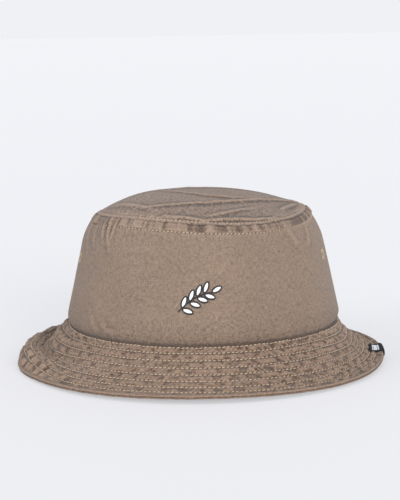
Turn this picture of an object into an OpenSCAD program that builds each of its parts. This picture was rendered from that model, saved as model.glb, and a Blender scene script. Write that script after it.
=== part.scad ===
// Bucket hat: washed cotton twill, cut as flat panels and sewn.
// Millimetres, +Z up, the front towards -Y. The brim's edge rests on the plane Z = 0.

/* [Crown] */
// Half width of the crown at its widest, just above the brim seam
crown_half_w = 97.3; // [88:0.1:104]
// Half width of the top panel at its seam
top_half_w = 73.8; // [66:0.1:82]
// How much deeper, front to back, the top panel is than it is wide, on each side
top_extra_d = 3.5; // [0:0.5:8]
// How much deeper the crown's base is than it is wide, on each side
base_extra_d = 1.5; // [0:0.5:6]
// Height of the brim seam above the table
seam_z = 28.8; // [24:0.1:40]
// Height of the top panel's seam above the brim seam
crown_h = 77.4; // [70:0.1:92]
// How far the top panel rises at its middle
top_rise = 13.1; // [8:0.1:22]
// How much higher the top seam is on the wearer's left than at the middle
top_lean = 1; // [0:0.1:3]

// How much the top seam drops towards the wearer's left at the front, and rises towards the right
seam_skew = 3.2; // [0:0.1:5]

/* [Brim] */
// How far the brim reaches out from its seam
brim_reach = 35.3; // [28:0.1:50]
// How hollow the brim's slope is: 0 is a straight cone, 1 ends level at the edge
brim_bow = 0.7; // [0:0.05:0.75]
// How far the brim's edge waves up from the table
edge_wave = 1.6; // [0:0.1:4]
// Rows of stitching round the brim
brim_rows = 7; // [4:1:9]

/* [Cloth] */
// Thickness of the cotton twill
cloth_t = 0.7; // [0.5:0.05:1]
// Thickness of the stiffener inside the brim
stiffener_t = 0.6; // [0.3:0.05:1]
// Thickness of the binding tape
tape_t = 0.5; // [0.3:0.05:0.8]
// Thickness of the sewing thread
thread_t = 0.45; // [0.3:0.05:0.6]
// Height of the sweatband
sweatband_h = 33; // [25:1:40]

/* [Eyelets and labels] */
// Direction of the eyelets from the front, before and behind each side seam
eyelet_angles = [75, 105]; // [60:1:120]
// Height of the eyelets above the table
eyelet_z = 77; // [65:0.5:90]
// Radius of the hole through an eyelet
eyelet_hole_r = 1.8; // [1.2:0.1:2.2]
// Outer radius of an eyelet's ring of thread
eyelet_ring_r = 3.9; // [3.4:0.1:5]
// Height of the middle of the embroidered sprig
motif_z = 61; // [50:1:75]
// Length of the folded label along the brim's edge
edge_label_len = 22; // [15:1:35]
// How far the folded label reaches over the brim
edge_label_fold = 12.5; // [8:0.5:18]
// Width of the care label
care_w = 24; // [15:1:30]
// Length of the care label
care_h = 38; // [25:1:42]

/* [Hidden] */

segs = 60;           // straight steps in a full turn
clear = 0.1;         // space left between neighbouring layers
facet_room = 0.16;   // more space, between pieces whose facets don't meet in line
side_seam = 90;      // direction of the side seams, from the front
seam_gap = 0.06;     // degrees left open on each side of a side seam
cut_gap = 0.5;       // height left open between the wall and the top panel

wall_lean = 0.22;    // how fast the wall draws in as it rises
tuck = 3.2;          // how far the wall turns in at its bottom edge
tuck_h = 7;          // height over which it turns in
shoulder_h = 21;     // height of the rounded shoulder under the top seam
wall_top_w = crown_half_w - wall_lean * crown_h;
top_z = seam_z + crown_h;
top_fullness = 2.8;  // 2 is a plain dome; more is flatter, with a fuller edge
top_skew = 3;        // how much fuller the top is towards the wearer's right

brim_t = 2 * cloth_t + stiffener_t + 2 * clear;
brim_root = [crown_half_w - tuck - 0.9, seam_z - 1];  // half width and height at the seam
brim_edge_z = brim_t / 2;
edge_lean = 1.4;     // how much more the edge waves towards the wearer's left
wave_turn = 70;      // direction of one low place of the edge, right of the front
side_reach = 2;      // how much further the brim reaches on the wearer's right
left_short = 1.8;    // how much less it reaches on the wearer's left
right_bend = [-3.2, 3.8, 3.0];  // the three waves of the brim's bend on the wearer's right
left_bend = [-4.3, 0.7, -0.6];  // and on the left
row_count = brim_rows + 1;

// Heights above the brim seam where the wall's rows of facets meet
wall_stops = [0, 1.5, 3, 5, tuck_h, 18, sweatband_h, 46, crown_h - shoulder_h,
    crown_h - 16, crown_h - 11, crown_h - 6, crown_h - 2, crown_h - cut_gap];

// --- The hat's three surfaces. a is the direction: 0 the front, 90 the wearer's left ---

function turned(a) = a - 360 * round(a / 360);

// 1 within half degrees of the direction middle, fading to 0 beyond it.
function near(a, middle, half, fade) =
    exp(-pow(max(0, abs(turned(a - middle)) - half) / fade, 2));

// How far the top seam drops at a direction; the back is level.
function seam_drop(a) = seam_skew * sin(2 * a) * (1 + cos(a)) / 2;

// Crown wall, from the brim seam at t = 0 to the top seam at t = 1.
function wall_ring(t, a) =
    let (h = t * crown_h,
         drawn_in = tuck * pow(max(0, 1 - h / tuck_h), 2),
         rounded = (wall_top_w - top_half_w)
             * pow(max(0, (h - crown_h + shoulder_h) / shoulder_h), 2),
         w = crown_half_w - wall_lean * h - drawn_in - rounded)
    [w, w + base_extra_d + (top_extra_d - base_extra_d) * t,
     seam_z + h + top_lean * t * sin(a) - seam_drop(a) * t * t];

// Top panel, from its seam at t = 0 to its middle at t = 1.
function top_ring(t, a) =
    let (r = 1 - t,
         skewed = top_lean * r - top_skew * 4 * r * r * (1 - r))
    [top_half_w * r, (top_half_w + top_extra_d) * r,
     top_z + top_rise * (1 - pow(r, top_fullness)) + skewed * sin(a) - seam_drop(a) * r * r];

// The brim is hollow at the front and back, fuller at the left, and humped at the right.
function bow(a) =
    brim_bow + 0.15 * near(a, 20, 0, 38) - 1.3 * near(a, -97, 12, 18) - 0.4 * near(a, 95, 10, 22);

// How the brim bends at a side, as three waves between its edge and its seam.
function waves(c, t) = c[0] * sin(180 * t) + c[1] * sin(360 * t) + c[2] * sin(540 * t);

// At its sides the brim drops steeply from the seam, then runs flatter towards the edge.
function side_bend(t, a) =
    near(a, -95, 14, 20) * waves(right_bend, t) + near(a, 98, 14, 20) * waves(left_bend, t);

// Height of the edge: three low places carry the hat.
function edge_height(a) =
    brim_edge_z + (edge_wave + edge_lean * sin(a)) * (1 - cos(3 * (a + wave_turn))) / 2;

// Brim, from its edge at t = 0 to its seam at t = 1.
function brim_ring(t, a) =
    let (s = 1 - t, b = bow(a),
         out = s - 0.36 * b * s * (1 - s),
         down = out + b * out * (1 - out),
         reach = brim_reach + side_reach * near(a, -97, 12, 18) - left_short * near(a, 98, 14, 20),
         w = brim_root.x + reach * out)
    [w, w + base_extra_d + out,
     brim_root.y - (brim_root.y - edge_height(a)) * down + side_bend(t, a)];

function ring(kind, t, a) =
    kind == "wall" ? wall_ring(t, a) : kind == "top" ? top_ring(t, a) : brim_ring(t, a);

// The point of an oval ring [half width, half depth, height] in direction a.
function on_ring(r, a) = [r.x * sin(a), -r.y * cos(a), r.z];

// A point of a surface, lifted by n along its outward normal.
function skin_point(kind, t, n, a) =
    let (step = 0.002, p = ring(kind, t, a), q = ring(kind, t + step, a),
         dw = (q.x + q.y - p.x - p.y) / 2, dz = q.z - p.z, len = norm([dw, dz]))
    on_ring([p.x + n * dz / len, p.y + n * dz / len, p.z - n * dw / len], a);

// --- Building blocks ---

// A band of cloth swept round the hat between the directions a0 and a1. outer and inner
// list its two faces as [t, n] pairs. A full turn makes a closed ring.
module band(kind, outer, inner, a0 = -180, a1 = 180) {
    m = len(outer);
    closed = a1 - a0 > 359.9;
    count = max(2, round(segs * (a1 - a0) / 360));
    stops = closed ? count : count + 1;
    section = concat(outer, inner);
    points = [for (i = [0 : stops - 1], p = section)
        skin_point(kind, p[0], p[1], a0 + (a1 - a0) * i / count)];
    function at(i, j) = (i % stops) * 2 * m + j;
    function quad(p, q, r, s) = [[p, q, r], [p, r, s]];
    walls = [for (i = [0 : count - 1], j = [0 : m - 2]) each concat(
        quad(at(i, j), at(i, j + 1), at(i + 1, j + 1), at(i + 1, j)),
        quad(at(i, m + j), at(i + 1, m + j), at(i + 1, m + j + 1), at(i, m + j + 1)))];
    rims = [for (i = [0 : count - 1]) each concat(
        quad(at(i, 0), at(i + 1, 0), at(i + 1, m), at(i, m)),
        quad(at(i, m - 1), at(i, 2 * m - 1), at(i + 1, 2 * m - 1), at(i + 1, m - 1)))];
    ends = closed ? [] : [for (j = [0 : m - 2]) each concat(
        quad(at(0, j), at(0, m + j), at(0, m + j + 1), at(0, j + 1)),
        quad(at(count, j), at(count, j + 1), at(count, m + j + 1), at(count, m + j)))];
    polyhedron(points, concat(walls, rims, ends));
}

// A layer of cloth through the stations ts, between the levels n_in and n_out.
module layer(kind, ts, n_in, n_out, a0 = -180, a1 = 180) {
    band(kind, [for (t = ts) [t, n_out]], [for (t = ts) [t, n_in]], a0, a1);
}

// Stations of the wall between two heights above the brim seam.
function wall_stations(h0, h1) =
    [for (h = concat([h0], [for (h = wall_stops) if (h > h0 && h < h1) h], [h1])) h / crown_h];

// Stations of the brim between t0 and t1.
function brim_stations(t0 = 0, t1 = 1) =
    concat([t0], [for (i = [1 : row_count - 1]) i / row_count], [t1]);

// A ring of sewing thread of triangular section, standing up from the level base to top.
module thread_ring(kind, t, half, base, top) {
    flip = top > base ? 1 : -1;
    section = [[t - flip * half, base], [t, top], [t + flip * half, base]];
    points = [for (i = [0 : segs - 1], p = section) skin_point(kind, p[0], p[1], 360 * i / segs)];
    faces = [for (i = [0 : segs - 1], j = [0 : 2]) each
        let (k = (j + 1) % 3, here = 3 * i, next = 3 * ((i + 1) % segs))
        [[here + j, here + k, next + k], [here + j, next + k, next + j]]];
    polyhedron(points, faces);
}

// Puts its children on the wall: X along it, Y up it, Z straight out of it.
module on_wall(a, z) {
    t = (z - seam_z) / crown_h;
    p = skin_point("wall", t, 0, a);
    q = skin_point("wall", t, 1, a);
    translate(p) rotate([0, 0, a]) rotate([90 - asin((q - p).z), 0, 0]) children();
}

// --- Crown ---

module crown_top_panel() {
    rows = 6;
    per_skin = rows * segs + 1;
    first_t = 0.001;
    function skin_points(n) = concat(
        [for (j = [0 : rows - 1], i = [0 : segs - 1])
            skin_point("top", j == 0 ? first_t : j / rows, n, 360 * i / segs)],
        [[0, 0, top_z + top_rise + n]]);
    function quad(p, q, r, s, up) = up ? [[p, r, q], [p, s, r]] : [[p, q, r], [p, r, s]];
    function skin_faces(base, up) = concat(
        [for (j = [0 : rows - 2], i = [0 : segs - 1]) each
            let (p = base + j * segs + i, q = base + j * segs + (i + 1) % segs)
            quad(p, q, q + segs, p + segs, up)],
        [for (i = [0 : segs - 1])
            let (p = base + (rows - 1) * segs, c = base + rows * segs, q = p + (i + 1) % segs)
            up ? [q, p + i, c] : [p + i, q, c]]);
    rim = [for (i = [0 : segs - 1]) each
        let (q = (i + 1) % segs) quad(i, q, q + per_skin, i + per_skin, false)];
    color("tan") polyhedron(concat(skin_points(0), skin_points(-cloth_t)),
        concat(skin_faces(0, true), skin_faces(per_skin, false), rim));
}

// One half of the wall, its middle in the direction facing, with holes for its eyelets.
module crown_panel(facing) {
    hole_r = eyelet_ring_r - 0.7;
    color("tan") difference() {
        layer("wall", wall_stations(0, crown_h - cut_gap), -cloth_t, 0,
            facing - side_seam + seam_gap, facing + side_seam - seam_gap);
        for (a = eyelet_angles, side = [-1, 1])
            on_wall(a * side, eyelet_z) cylinder(r = hole_r, h = 8, center = true, $fn = 32);
    }
}

// --- Brim: two layers of cloth with a stiffener between them ---

module brim_layer(facing, n_in, n_out) {
    color("tan") layer("brim", brim_stations(), n_in, n_out,
        facing - side_seam + seam_gap, facing + side_seam - seam_gap);
}

module brim_upper(facing) {
    brim_layer(facing, stiffener_t / 2 + clear, brim_t / 2);
}

module brim_lower(facing) {
    brim_layer(facing, -brim_t / 2, -stiffener_t / 2 - clear);
}

module brim_stiffener() {
    color("ivory") layer("brim", brim_stations(0.03, 0.99), -stiffener_t / 2, stiffener_t / 2);
}

// One row of stitching: the thread on top of the brim and the thread under it.
module brim_stitch_row(i) {
    base = brim_t / 2 + clear;
    color("tan") for (side = [-1, 1])
        thread_ring("brim", i / row_count, 0.006, side * base, side * (base + thread_t));
}

// --- Inside: binding tapes and sweatband ---

tape_out = -cloth_t - clear;
side_tape_out = tape_out - facet_room;
band_out = side_tape_out - tape_t - clear;
band_in = band_out - cloth_t;

module top_seam_binding() {
    color("tan") layer("wall", wall_stations(crown_h - 11, crown_h - 2), tape_out - tape_t, tape_out);
}

module side_seam_binding(a) {
    half_a = 3;
    color("tan") layer("wall", wall_stations(3, crown_h - 11.5),
        side_tape_out - tape_t, side_tape_out, a - half_a, a + half_a);
}

module sweatband() {
    color("tan") layer("wall", wall_stations(0, sweatband_h), band_in, band_out);
}

// --- Stitching of the crown ---

module top_seam_stitch_upper() {
    color("tan") thread_ring("top", 0.04, 0.004, clear, clear + thread_t);
}

module top_seam_stitch_lower() {
    color("tan") thread_ring("wall", (crown_h - 6) / crown_h, 0.003, clear, clear + thread_t);
}

module base_seam_stitch() {
    base = brim_t / 2 + clear + facet_room;
    color("tan") thread_ring("brim", 0.97, 0.006, base, base + thread_t);
}

module sweatband_stitch() {
    base = band_in - clear;
    color("tan") thread_ring("wall", (sweatband_h - 1) / crown_h, 0.003, base, base - thread_t);
}

// --- Eyelets ---

// A ring of close stitches: a barrel through the cloth and a flange of thread outside it.
module eyelet(a) {
    flange_t = 0.5;
    inside = 0.35;
    color("wheat") on_wall(a, eyelet_z) difference() {
        union() {
            translate([0, 0, -cloth_t - inside])
                cylinder(r = eyelet_ring_r - 0.8, h = cloth_t + inside + flange_t, $fn = 32);
            translate([0, 0, 2 * clear])
                cylinder(r = eyelet_ring_r, h = flange_t, $fn = 32);
        }
        cylinder(r = eyelet_hole_r, h = 8, center = true, $fn = 32);
    }
}

// --- Embroidered sprig ---

leaf_pairs = 4;
leaf_size = [3.4, 8];     // width and length
leaf_step = 5.2;          // distance between pairs along the stem
leaf_tilt = 42;           // how far a leaf leans from the stem
stem_start = -11.7;       // where the stem begins, right of the hat's middle
stem_slope = 24;          // how steeply the stem rises
outline_w = 0.55;         // width of the dark outline round a leaf
outline_t = 0.35;
fill_t = 0.4;

// A leaf drawn as two arcs, pointing along Y with its foot at the origin.
module leaf(width, length) {
    r = (length * length + width * width) / (4 * width);
    translate([0, length / 2]) intersection_for (side = [-1, 1])
        translate([side * (r - width / 2), 0]) circle(r, $fn = 64);
}

// Height of the stem above the sprig's middle, x to the right of it.
function stem_y(x) = x * tan(stem_slope) - 0.02 * x * x;

// Places its children at every leaf: pairs along the stem and one leaf at its end.
module at_leaves() {
    places = concat(
        [for (i = [0 : leaf_pairs - 1], side = [-1, 1])
            [stem_start + leaf_step * i, side * leaf_tilt]],
        [[stem_start + leaf_step * leaf_pairs, 0]]);
    for (place = places) {
        x = place[0];
        on_wall(x / crown_half_w * 180 / PI, motif_z + stem_y(x))
            rotate([0, 0, stem_slope - 90 + place[1]]) children();
    }
}

module motif_outline() {
    color("black") at_leaves() translate([0, 1, 2 * clear])
        linear_extrude(outline_t) leaf(leaf_size.x - outline_w, leaf_size.y - 1);
}

module motif_fill() {
    color("white") at_leaves() translate([0, 1 + outline_w * 1.5, 3 * clear + outline_t])
        linear_extrude(fill_t) leaf(leaf_size.x - 3 * outline_w, leaf_size.y - 1 - 3 * outline_w);
}

// --- Labels ---

// A woven label folded over the brim's edge, just behind the side seam. It lies over the
// rows of stitching.
module brim_edge_label() {
    label_t = 0.45;
    facing = 88.5;
    half_a = edge_label_len / 2 / (crown_half_w + brim_reach) * 180 / PI;
    over = brim_t / 2 + 2 * clear + thread_t;
    reach_t = edge_label_fold / norm([brim_reach, brim_root.y]);
    function skin(n) = concat([[-n / 90, -n / 2], [-n / 90, n / 2]],
        [for (t = [0, 1 / row_count, reach_t]) [t, n]]);
    function under(n) = [for (t = [reach_t, 1 / row_count, 0]) [t, -n]];
    color("black") band("brim", concat(under(over + label_t), skin(over + label_t)),
        concat(under(over), skin(over)), facing - half_a, facing + half_a);
}

// Sewn flat to the back of the sweatband.
module size_label() {
    half_a = 12;
    label_t = 0.35;
    out = band_in - clear;
    color("white") layer("wall", wall_stations(8, 26), out - label_t, out,
        180 - half_a, 180 + half_a);
}

// Hangs from the top seam's binding at the back, and swings about its top edge.
module care_label() {
    label_t = 0.6;
    hinge = [0, 81, top_z - 11.8];
    color("white") translate(hinge + [-care_w / 2, -label_t / 2, -care_h])
        cube([care_w, label_t, care_h]);
}

crown_top_panel();
crown_panel(0);  // crown_front_panel
crown_panel(180);  // crown_back_panel
brim_upper(0);  // brim_upper_front
brim_upper(180);  // brim_upper_back
brim_lower(0);  // brim_lower_front
brim_lower(180);  // brim_lower_back
brim_stiffener();
sweatband();
top_seam_binding();
side_seam_binding(side_seam);  // side_seam_binding_left
side_seam_binding(-side_seam);  // side_seam_binding_right
eyelet(eyelet_angles[0]);  // eyelet_front_left
eyelet(-eyelet_angles[0]);  // eyelet_front_right
eyelet(eyelet_angles[1]);  // eyelet_back_left
eyelet(-eyelet_angles[1]);  // eyelet_back_right
motif_outline();
motif_fill();
brim_edge_label();
size_label();
care_label();
top_seam_stitch_upper();
top_seam_stitch_lower();
base_seam_stitch();
sweatband_stitch();
for (i = [1 : brim_rows])
    brim_stitch_row(i);
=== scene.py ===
"""A bucket hat of washed cotton twill: its cloth, stitching, lining and labels.

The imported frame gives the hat's structure. Each class below builds one sub-assembly
around it, in metres, in the frame's own axes: +Z up and the front towards -Y.
Directions round the hat are degrees from the front, 90 being the wearer's left at +X.
"""
import logging
import math
from dataclasses import dataclass, field
from enum import Enum
from typing import Callable, Sequence

import bpy
import numpy as np
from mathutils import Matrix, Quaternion, Vector


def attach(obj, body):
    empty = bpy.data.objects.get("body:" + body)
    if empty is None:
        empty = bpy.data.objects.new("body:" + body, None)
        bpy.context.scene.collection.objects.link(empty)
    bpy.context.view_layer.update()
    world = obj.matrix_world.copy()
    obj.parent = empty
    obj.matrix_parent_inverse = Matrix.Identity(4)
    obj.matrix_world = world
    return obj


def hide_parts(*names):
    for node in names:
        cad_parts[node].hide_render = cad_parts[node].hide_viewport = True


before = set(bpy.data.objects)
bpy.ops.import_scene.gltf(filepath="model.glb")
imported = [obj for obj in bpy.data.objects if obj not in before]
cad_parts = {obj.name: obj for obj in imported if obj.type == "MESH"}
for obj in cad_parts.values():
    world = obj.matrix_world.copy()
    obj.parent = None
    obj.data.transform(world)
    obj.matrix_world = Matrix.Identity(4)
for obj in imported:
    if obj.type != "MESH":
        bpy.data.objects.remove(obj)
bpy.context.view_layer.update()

log = logging.getLogger("hat")
Array = np.ndarray
Colour = tuple[float, float, float]
MM = 0.001
HAT = "hat"
WEAVE_UV = "weave"
RELIEF = "relief"


class Face(Enum):
    """The three smooth surfaces that the hat's cloth follows."""

    WALL = "wall"
    TOP = "top"
    BRIM = "brim"


class Held(Enum):
    """How a sheet of cloth is held."""

    STRETCHED = "stretched"
    FOLDED = "folded"
    HUNG = "hung"


class Half(Enum):
    """A half of the hat, by the direction of its middle."""

    FRONT = 0.0
    BACK = 180.0

    def columns(self, count: int, gap: float) -> Array:
        """So many directions across the half, which stop short of its side seams by gap degrees."""
        return np.linspace(self.value - 90 + gap, self.value + 90 - gap, count)[:, None]


# --- Form ---


def turned(a: Array) -> Array:
    """The same directions, brought between -180 and 180 degrees."""
    return a - 360.0 * np.round(a / 360.0)


def off_seam(a: Array) -> Array:
    """Degrees from each direction to the nearer side seam."""
    return np.minimum(np.abs(turned(a - 90)), np.abs(turned(a + 90)))


def dip(distance: Array, width: float) -> Array:
    """A rounded groove's share of its depth at a distance from its middle."""
    return np.exp(-((distance / width) ** 2))


def sin_d(a: Array) -> Array:
    """Sine of an angle in degrees."""
    return np.sin(np.radians(a))


def cos_d(a: Array) -> Array:
    """Cosine of an angle in degrees."""
    return np.cos(np.radians(a))


@dataclass(frozen=True)
class Zone:
    """A stretch of the way round the hat, in degrees, that fades out at both ends."""

    middle: float
    half: float
    fade: float

    def at(self, a: Array) -> Array:
        """The zone's share at each direction, from 0 to 1."""
        return dip(np.maximum(0.0, np.abs(turned(a - self.middle)) - self.half), self.fade)


@dataclass(frozen=True)
class HatForm:
    """The hat's smooth form, with the same driving sizes as the frame, in metres."""

    crown_half_w: float = 97.3 * MM
    top_half_w: float = 73.8 * MM
    top_extra_d: float = 3.5 * MM
    base_extra_d: float = 1.5 * MM
    seam_z: float = 28.8 * MM
    crown_h: float = 77.4 * MM
    top_rise: float = 13.1 * MM
    top_lean: float = 1.0 * MM
    top_skew: float = 3.0 * MM
    top_fullness: float = 2.8
    seam_skew: float = 3.2 * MM
    wall_lean: float = 0.22
    wall_slant: float = 1.04
    tuck: float = 3.2 * MM
    tuck_h: float = 7.0 * MM
    shoulder_h: float = 21.0 * MM
    brim_reach: float = 35.3 * MM
    side_reach: float = 2.0 * MM
    left_short: float = 1.8 * MM
    left_edge: Zone = Zone(98, 14, 20)
    brim_bow: float = 0.7
    front_bow: float = 0.15
    right_bow: float = -1.3
    left_bow: float = -0.4
    front_bowed: Zone = Zone(20, 0, 38)
    right_bowed: Zone = Zone(-97, 12, 18)
    left_bowed: Zone = Zone(95, 10, 22)
    bow_spread: float = 0.36
    root_in: float = 0.9 * MM
    root_drop: float = 1.0 * MM
    right_bent: Zone = Zone(-95, 14, 20)
    left_bent: Zone = Zone(98, 14, 20)
    right_bend: tuple[float, float, float] = (-3.2 * MM, 3.8 * MM, 3.0 * MM)
    left_bend: tuple[float, float, float] = (-4.3 * MM, 0.7 * MM, -0.6 * MM)
    edge_wave: float = 1.6 * MM
    edge_lean: float = 1.4 * MM
    wave_turn: float = 70.0
    brim_rows: int = 7
    cloth_t: float = 0.7 * MM
    brim_t: float = 2.2 * MM

    @property
    def top_z(self) -> float:
        """Height of the top seam."""
        return self.seam_z + self.crown_h

    def run(self, face: Face) -> float:
        """Length across a surface, from t = 0 to t = 1."""
        slant = math.hypot(self.brim_reach, self.seam_z)
        return {Face.WALL: self.crown_h * self.wall_slant, Face.TOP: self.top_half_w, Face.BRIM: slant}[face]

    def seam_drop(self, a: Array) -> Array:
        """How far the top seam drops: it drops towards the front left and rises towards the front right."""
        return self.seam_skew * sin_d(2.0 * a) * (1.0 + cos_d(a)) / 2.0

    def wall(self, t: Array, a: Array) -> tuple[Array, Array, Array]:
        """The wall's smooth rings.

        Args:
            t: Places from its base (0) to its top (1).
            a: Directions in degrees.

        Returns:
            Half width, half depth and height at each.
        """
        h = t * self.crown_h
        drawn_in = self.tuck * np.maximum(0.0, 1.0 - h / self.tuck_h) ** 2
        top_w = self.crown_half_w - self.wall_lean * self.crown_h
        up = np.maximum(0.0, (h - self.crown_h + self.shoulder_h) / self.shoulder_h)
        w = self.crown_half_w - self.wall_lean * h - drawn_in - (top_w - self.top_half_w) * up**2
        deeper = self.base_extra_d + (self.top_extra_d - self.base_extra_d) * t
        z = self.seam_z + h + self.top_lean * t * sin_d(a) - self.seam_drop(a) * t * t
        return w, w + deeper, z

    def top(self, t: Array, a: Array) -> tuple[Array, Array, Array]:
        """The top panel's smooth rings.

        Args:
            t: Places from its seam (0) to its middle (1).
            a: Directions in degrees.

        Returns:
            Half width, half depth and height at each.
        """
        r = 1.0 - t
        skewed = self.top_lean * r - self.top_skew * 4.0 * r * r * (1.0 - r)
        z = self.top_z + self.top_rise * (1.0 - r**self.top_fullness) + skewed * sin_d(a)
        z = z - self.seam_drop(a) * r * r
        return self.top_half_w * r, (self.top_half_w + self.top_extra_d) * r, z

    def brim(self, t: Array, a: Array) -> tuple[Array, Array, Array]:
        """The brim's smooth rings.

        Args:
            t: Places from its edge (0) to the crown (1).
            a: Directions in degrees.

        Returns:
            Half width, half depth and height at each.
        """
        right = self.right_bowed.at(a)
        bow = self.brim_bow + self.front_bow * self.front_bowed.at(a)
        bow = bow + self.right_bow * right + self.left_bow * self.left_bowed.at(a)
        s = 1.0 - t
        out = s - self.bow_spread * bow * s * (1.0 - s)
        down = out + bow * out * (1.0 - out)
        lift = (self.edge_wave + self.edge_lean * sin_d(a)) * (1.0 - cos_d(3.0 * (a + self.wave_turn)))
        edge_z = self.brim_t / 2 + lift / 2
        reach = self.brim_reach + self.side_reach * right - self.left_short * self.left_edge.at(a)
        w = self.crown_half_w - self.tuck - self.root_in + reach * out
        root_z = self.seam_z - self.root_drop
        z = root_z - (root_z - edge_z) * down + self.side_bend(t, a)
        return w, w + self.base_extra_d + out * MM, z

    def side_bend(self, t: Array, a: Array) -> Array:
        """Extra height at the brim's sides: steep below the seam, then flatter towards the edge.

        Args:
            t: Places from the edge (0) to the crown (1).
            a: Directions in degrees.

        Returns:
            The extra height in metres.
        """
        waves = [np.sin(np.pi * k * t) for k in (1, 2, 3)]
        right = sum(c * wave for c, wave in zip(self.right_bend, waves))
        left = sum(c * wave for c, wave in zip(self.left_bend, waves))
        return self.right_bent.at(a) * right + self.left_bent.at(a) * left

    def skin(self, face: Face, t: Array, a: Array, n: Array | float = 0.0) -> Array:
        """Points of a surface lifted along its outward normal.

        Args:
            face: Which surface.
            t: Place across it, from 0 to 1.
            a: Direction round the hat.
            n: Lift in metres.

        Returns:
            Points, with x, y and z in the last axis.
        """
        ring = {Face.WALL: self.wall, Face.TOP: self.top, Face.BRIM: self.brim}[face]
        step = 0.002
        w0, d0, z0 = ring(t, a)
        w1, d1, z1 = ring(t + step, a)
        dw, dz = (w1 + d1 - w0 - d0) / 2, z1 - z0
        run = np.hypot(dw, dz)
        w, d, z = w0 + n * dz / run, d0 + n * dz / run, z0 - n * dw / run
        return np.stack(np.broadcast_arrays(w * sin_d(a), -d * cos_d(a), z), -1)

    def outward(self, face: Face, t: Array, a: Array) -> Array:
        """Unit outward direction of a surface."""
        step = self.skin(face, t, a, MM) - self.skin(face, t, a)
        return step / np.linalg.norm(step, axis=-1, keepdims=True)


FORM = HatForm()


# --- Noise and folds ---


def spline_weights(f: Array) -> tuple[Array, Array, Array, Array]:
    """The weights of a cubic B-spline.

    Args:
        f: Places between two of its values, from 0 to 1.

    Returns:
        The weights of the four values around each place.
    """
    return (
        (1 - f) ** 3 / 6,
        (3 * f**3 - 6 * f**2 + 4) / 6,
        (-3 * f**3 + 3 * f**2 + 3 * f + 1) / 6,
        f**3 / 6,
    )


def read_table(table: Array, u: Array, v: Array) -> Array:
    """Reads a table smoothly between its values.

    Args:
        table: The values, closed on themselves along the first axis.
        u: Places along the first axis, in steps of the table.
        v: Places along the second axis.

    Returns:
        The smoothed value at each place.
    """
    u, v = np.broadcast_arrays(u, v)
    iu, iv = np.floor(u).astype(int), np.floor(v).astype(int)
    total = np.zeros(u.shape)
    for i, wu in enumerate(spline_weights(u - iu)):
        for j, wv in enumerate(spline_weights(v - iv)):
            row, column = (iu + i - 1) % len(table), np.clip(iv + j - 1, 0, table.shape[1] - 1)
            total += wu * wv * table[row, column]
    return total


@dataclass(frozen=True)
class Grain:
    """Smooth seeded noise that closes on itself round the hat."""

    seed: int
    around: int
    across: int

    def at(self, a: Array, v: Array) -> Array:
        """Noise from about -1 to 1.

        Args:
            a: Directions in degrees.
            v: Places across, from 0 to 1.

        Returns:
            The noise at each place.
        """
        table = np.random.default_rng(self.seed).uniform(-1.8, 1.8, (self.around, self.across + 3))
        return read_table(table, np.asarray(a) / 360.0 * self.around, np.asarray(v) * self.across + 1.0)


def ridged(noise: Array, sharpness: float = 1.6) -> Array:
    """Turns smooth noise into narrow ridges from 0 to 1."""
    return np.maximum(0.0, 1.0 - np.abs(noise) * sharpness) ** 1.5


@dataclass(frozen=True)
class Crease:
    """A fold of cloth along a line of given points."""

    points: tuple[tuple[float, float], ...]
    height: float
    width: float

    def lift(self, x: Array, y: Array, scale: tuple[float, float] = (MM, MM)) -> Array:
        """Height of the fold above the smooth cloth.

        Args:
            x: First coordinate of each place, in the units of points.
            y: Second coordinate.
            scale: Metres in one unit of each coordinate.

        Returns:
            The lift in metres.
        """
        x, y = x * scale[0], y * scale[1]
        best = np.full(x.shape, np.inf)
        along = np.zeros(x.shape)
        line = [(px * scale[0], py * scale[1]) for px, py in self.points]
        spans = len(line) - 1
        for i, ((x0, y0), (x1, y1)) in enumerate(zip(line, line[1:])):
            length2 = (x1 - x0) ** 2 + (y1 - y0) ** 2
            s = np.clip(((x - x0) * (x1 - x0) + (y - y0) * (y1 - y0)) / length2, 0, 1)
            d = np.hypot(x - x0 - s * (x1 - x0), y - y0 - s * (y1 - y0))
            along = np.where(d < best, (i + s) / spans, along)
            best = np.minimum(best, d)
        taper = np.sqrt(np.clip(np.sin(np.pi * np.clip(along, 0.02, 0.98)), 0, 1))
        return self.height * taper * np.exp(-((best / self.width) ** 2))


# --- Meshes ---


def new_piece(name: str, points: Array, faces: list[Array], smooth: bool = True) -> bpy.types.Object:
    """Makes an object from points and index arrays.

    Args:
        name: The piece's name.
        points: Its points, one row each.
        faces: Arrays of quads or triangles, one row of indices for each face.
        smooth: Whether it is shaded smooth.

    Returns:
        The new object, linked to the scene.
    """
    mesh = bpy.data.meshes.new(name)
    mesh.vertices.add(len(points))
    mesh.vertices.foreach_set("co", points.astype(np.float32).ravel())
    sizes = np.concatenate([np.full(len(f), f.shape[1]) for f in faces])
    corners = np.concatenate([f.ravel() for f in faces])
    mesh.loops.add(len(corners))
    mesh.loops.foreach_set("vertex_index", corners.astype(np.int32))
    mesh.polygons.add(len(sizes))
    mesh.polygons.foreach_set("loop_start", np.concatenate([[0], np.cumsum(sizes)[:-1]]).astype(np.int32))
    mesh.update(calc_edges=True)
    mesh.validate()
    mesh.polygons.foreach_set("use_smooth", np.full(len(mesh.polygons), smooth))
    piece = bpy.data.objects.new(name, mesh)
    bpy.context.scene.collection.objects.link(piece)
    return piece


def add_uv(piece: bpy.types.Object, uv: Array) -> None:
    """Gives each corner the UV of its point.

    Args:
        piece: The piece.
        uv: Each point's place on the flat cloth, in metres.
    """
    layer = piece.data.uv_layers.new(name=WEAVE_UV)
    corners = np.empty(len(piece.data.loops), np.int32)
    piece.data.loops.foreach_get("vertex_index", corners)
    layer.data.foreach_set("uv", uv[corners].astype(np.float32).ravel())


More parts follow.
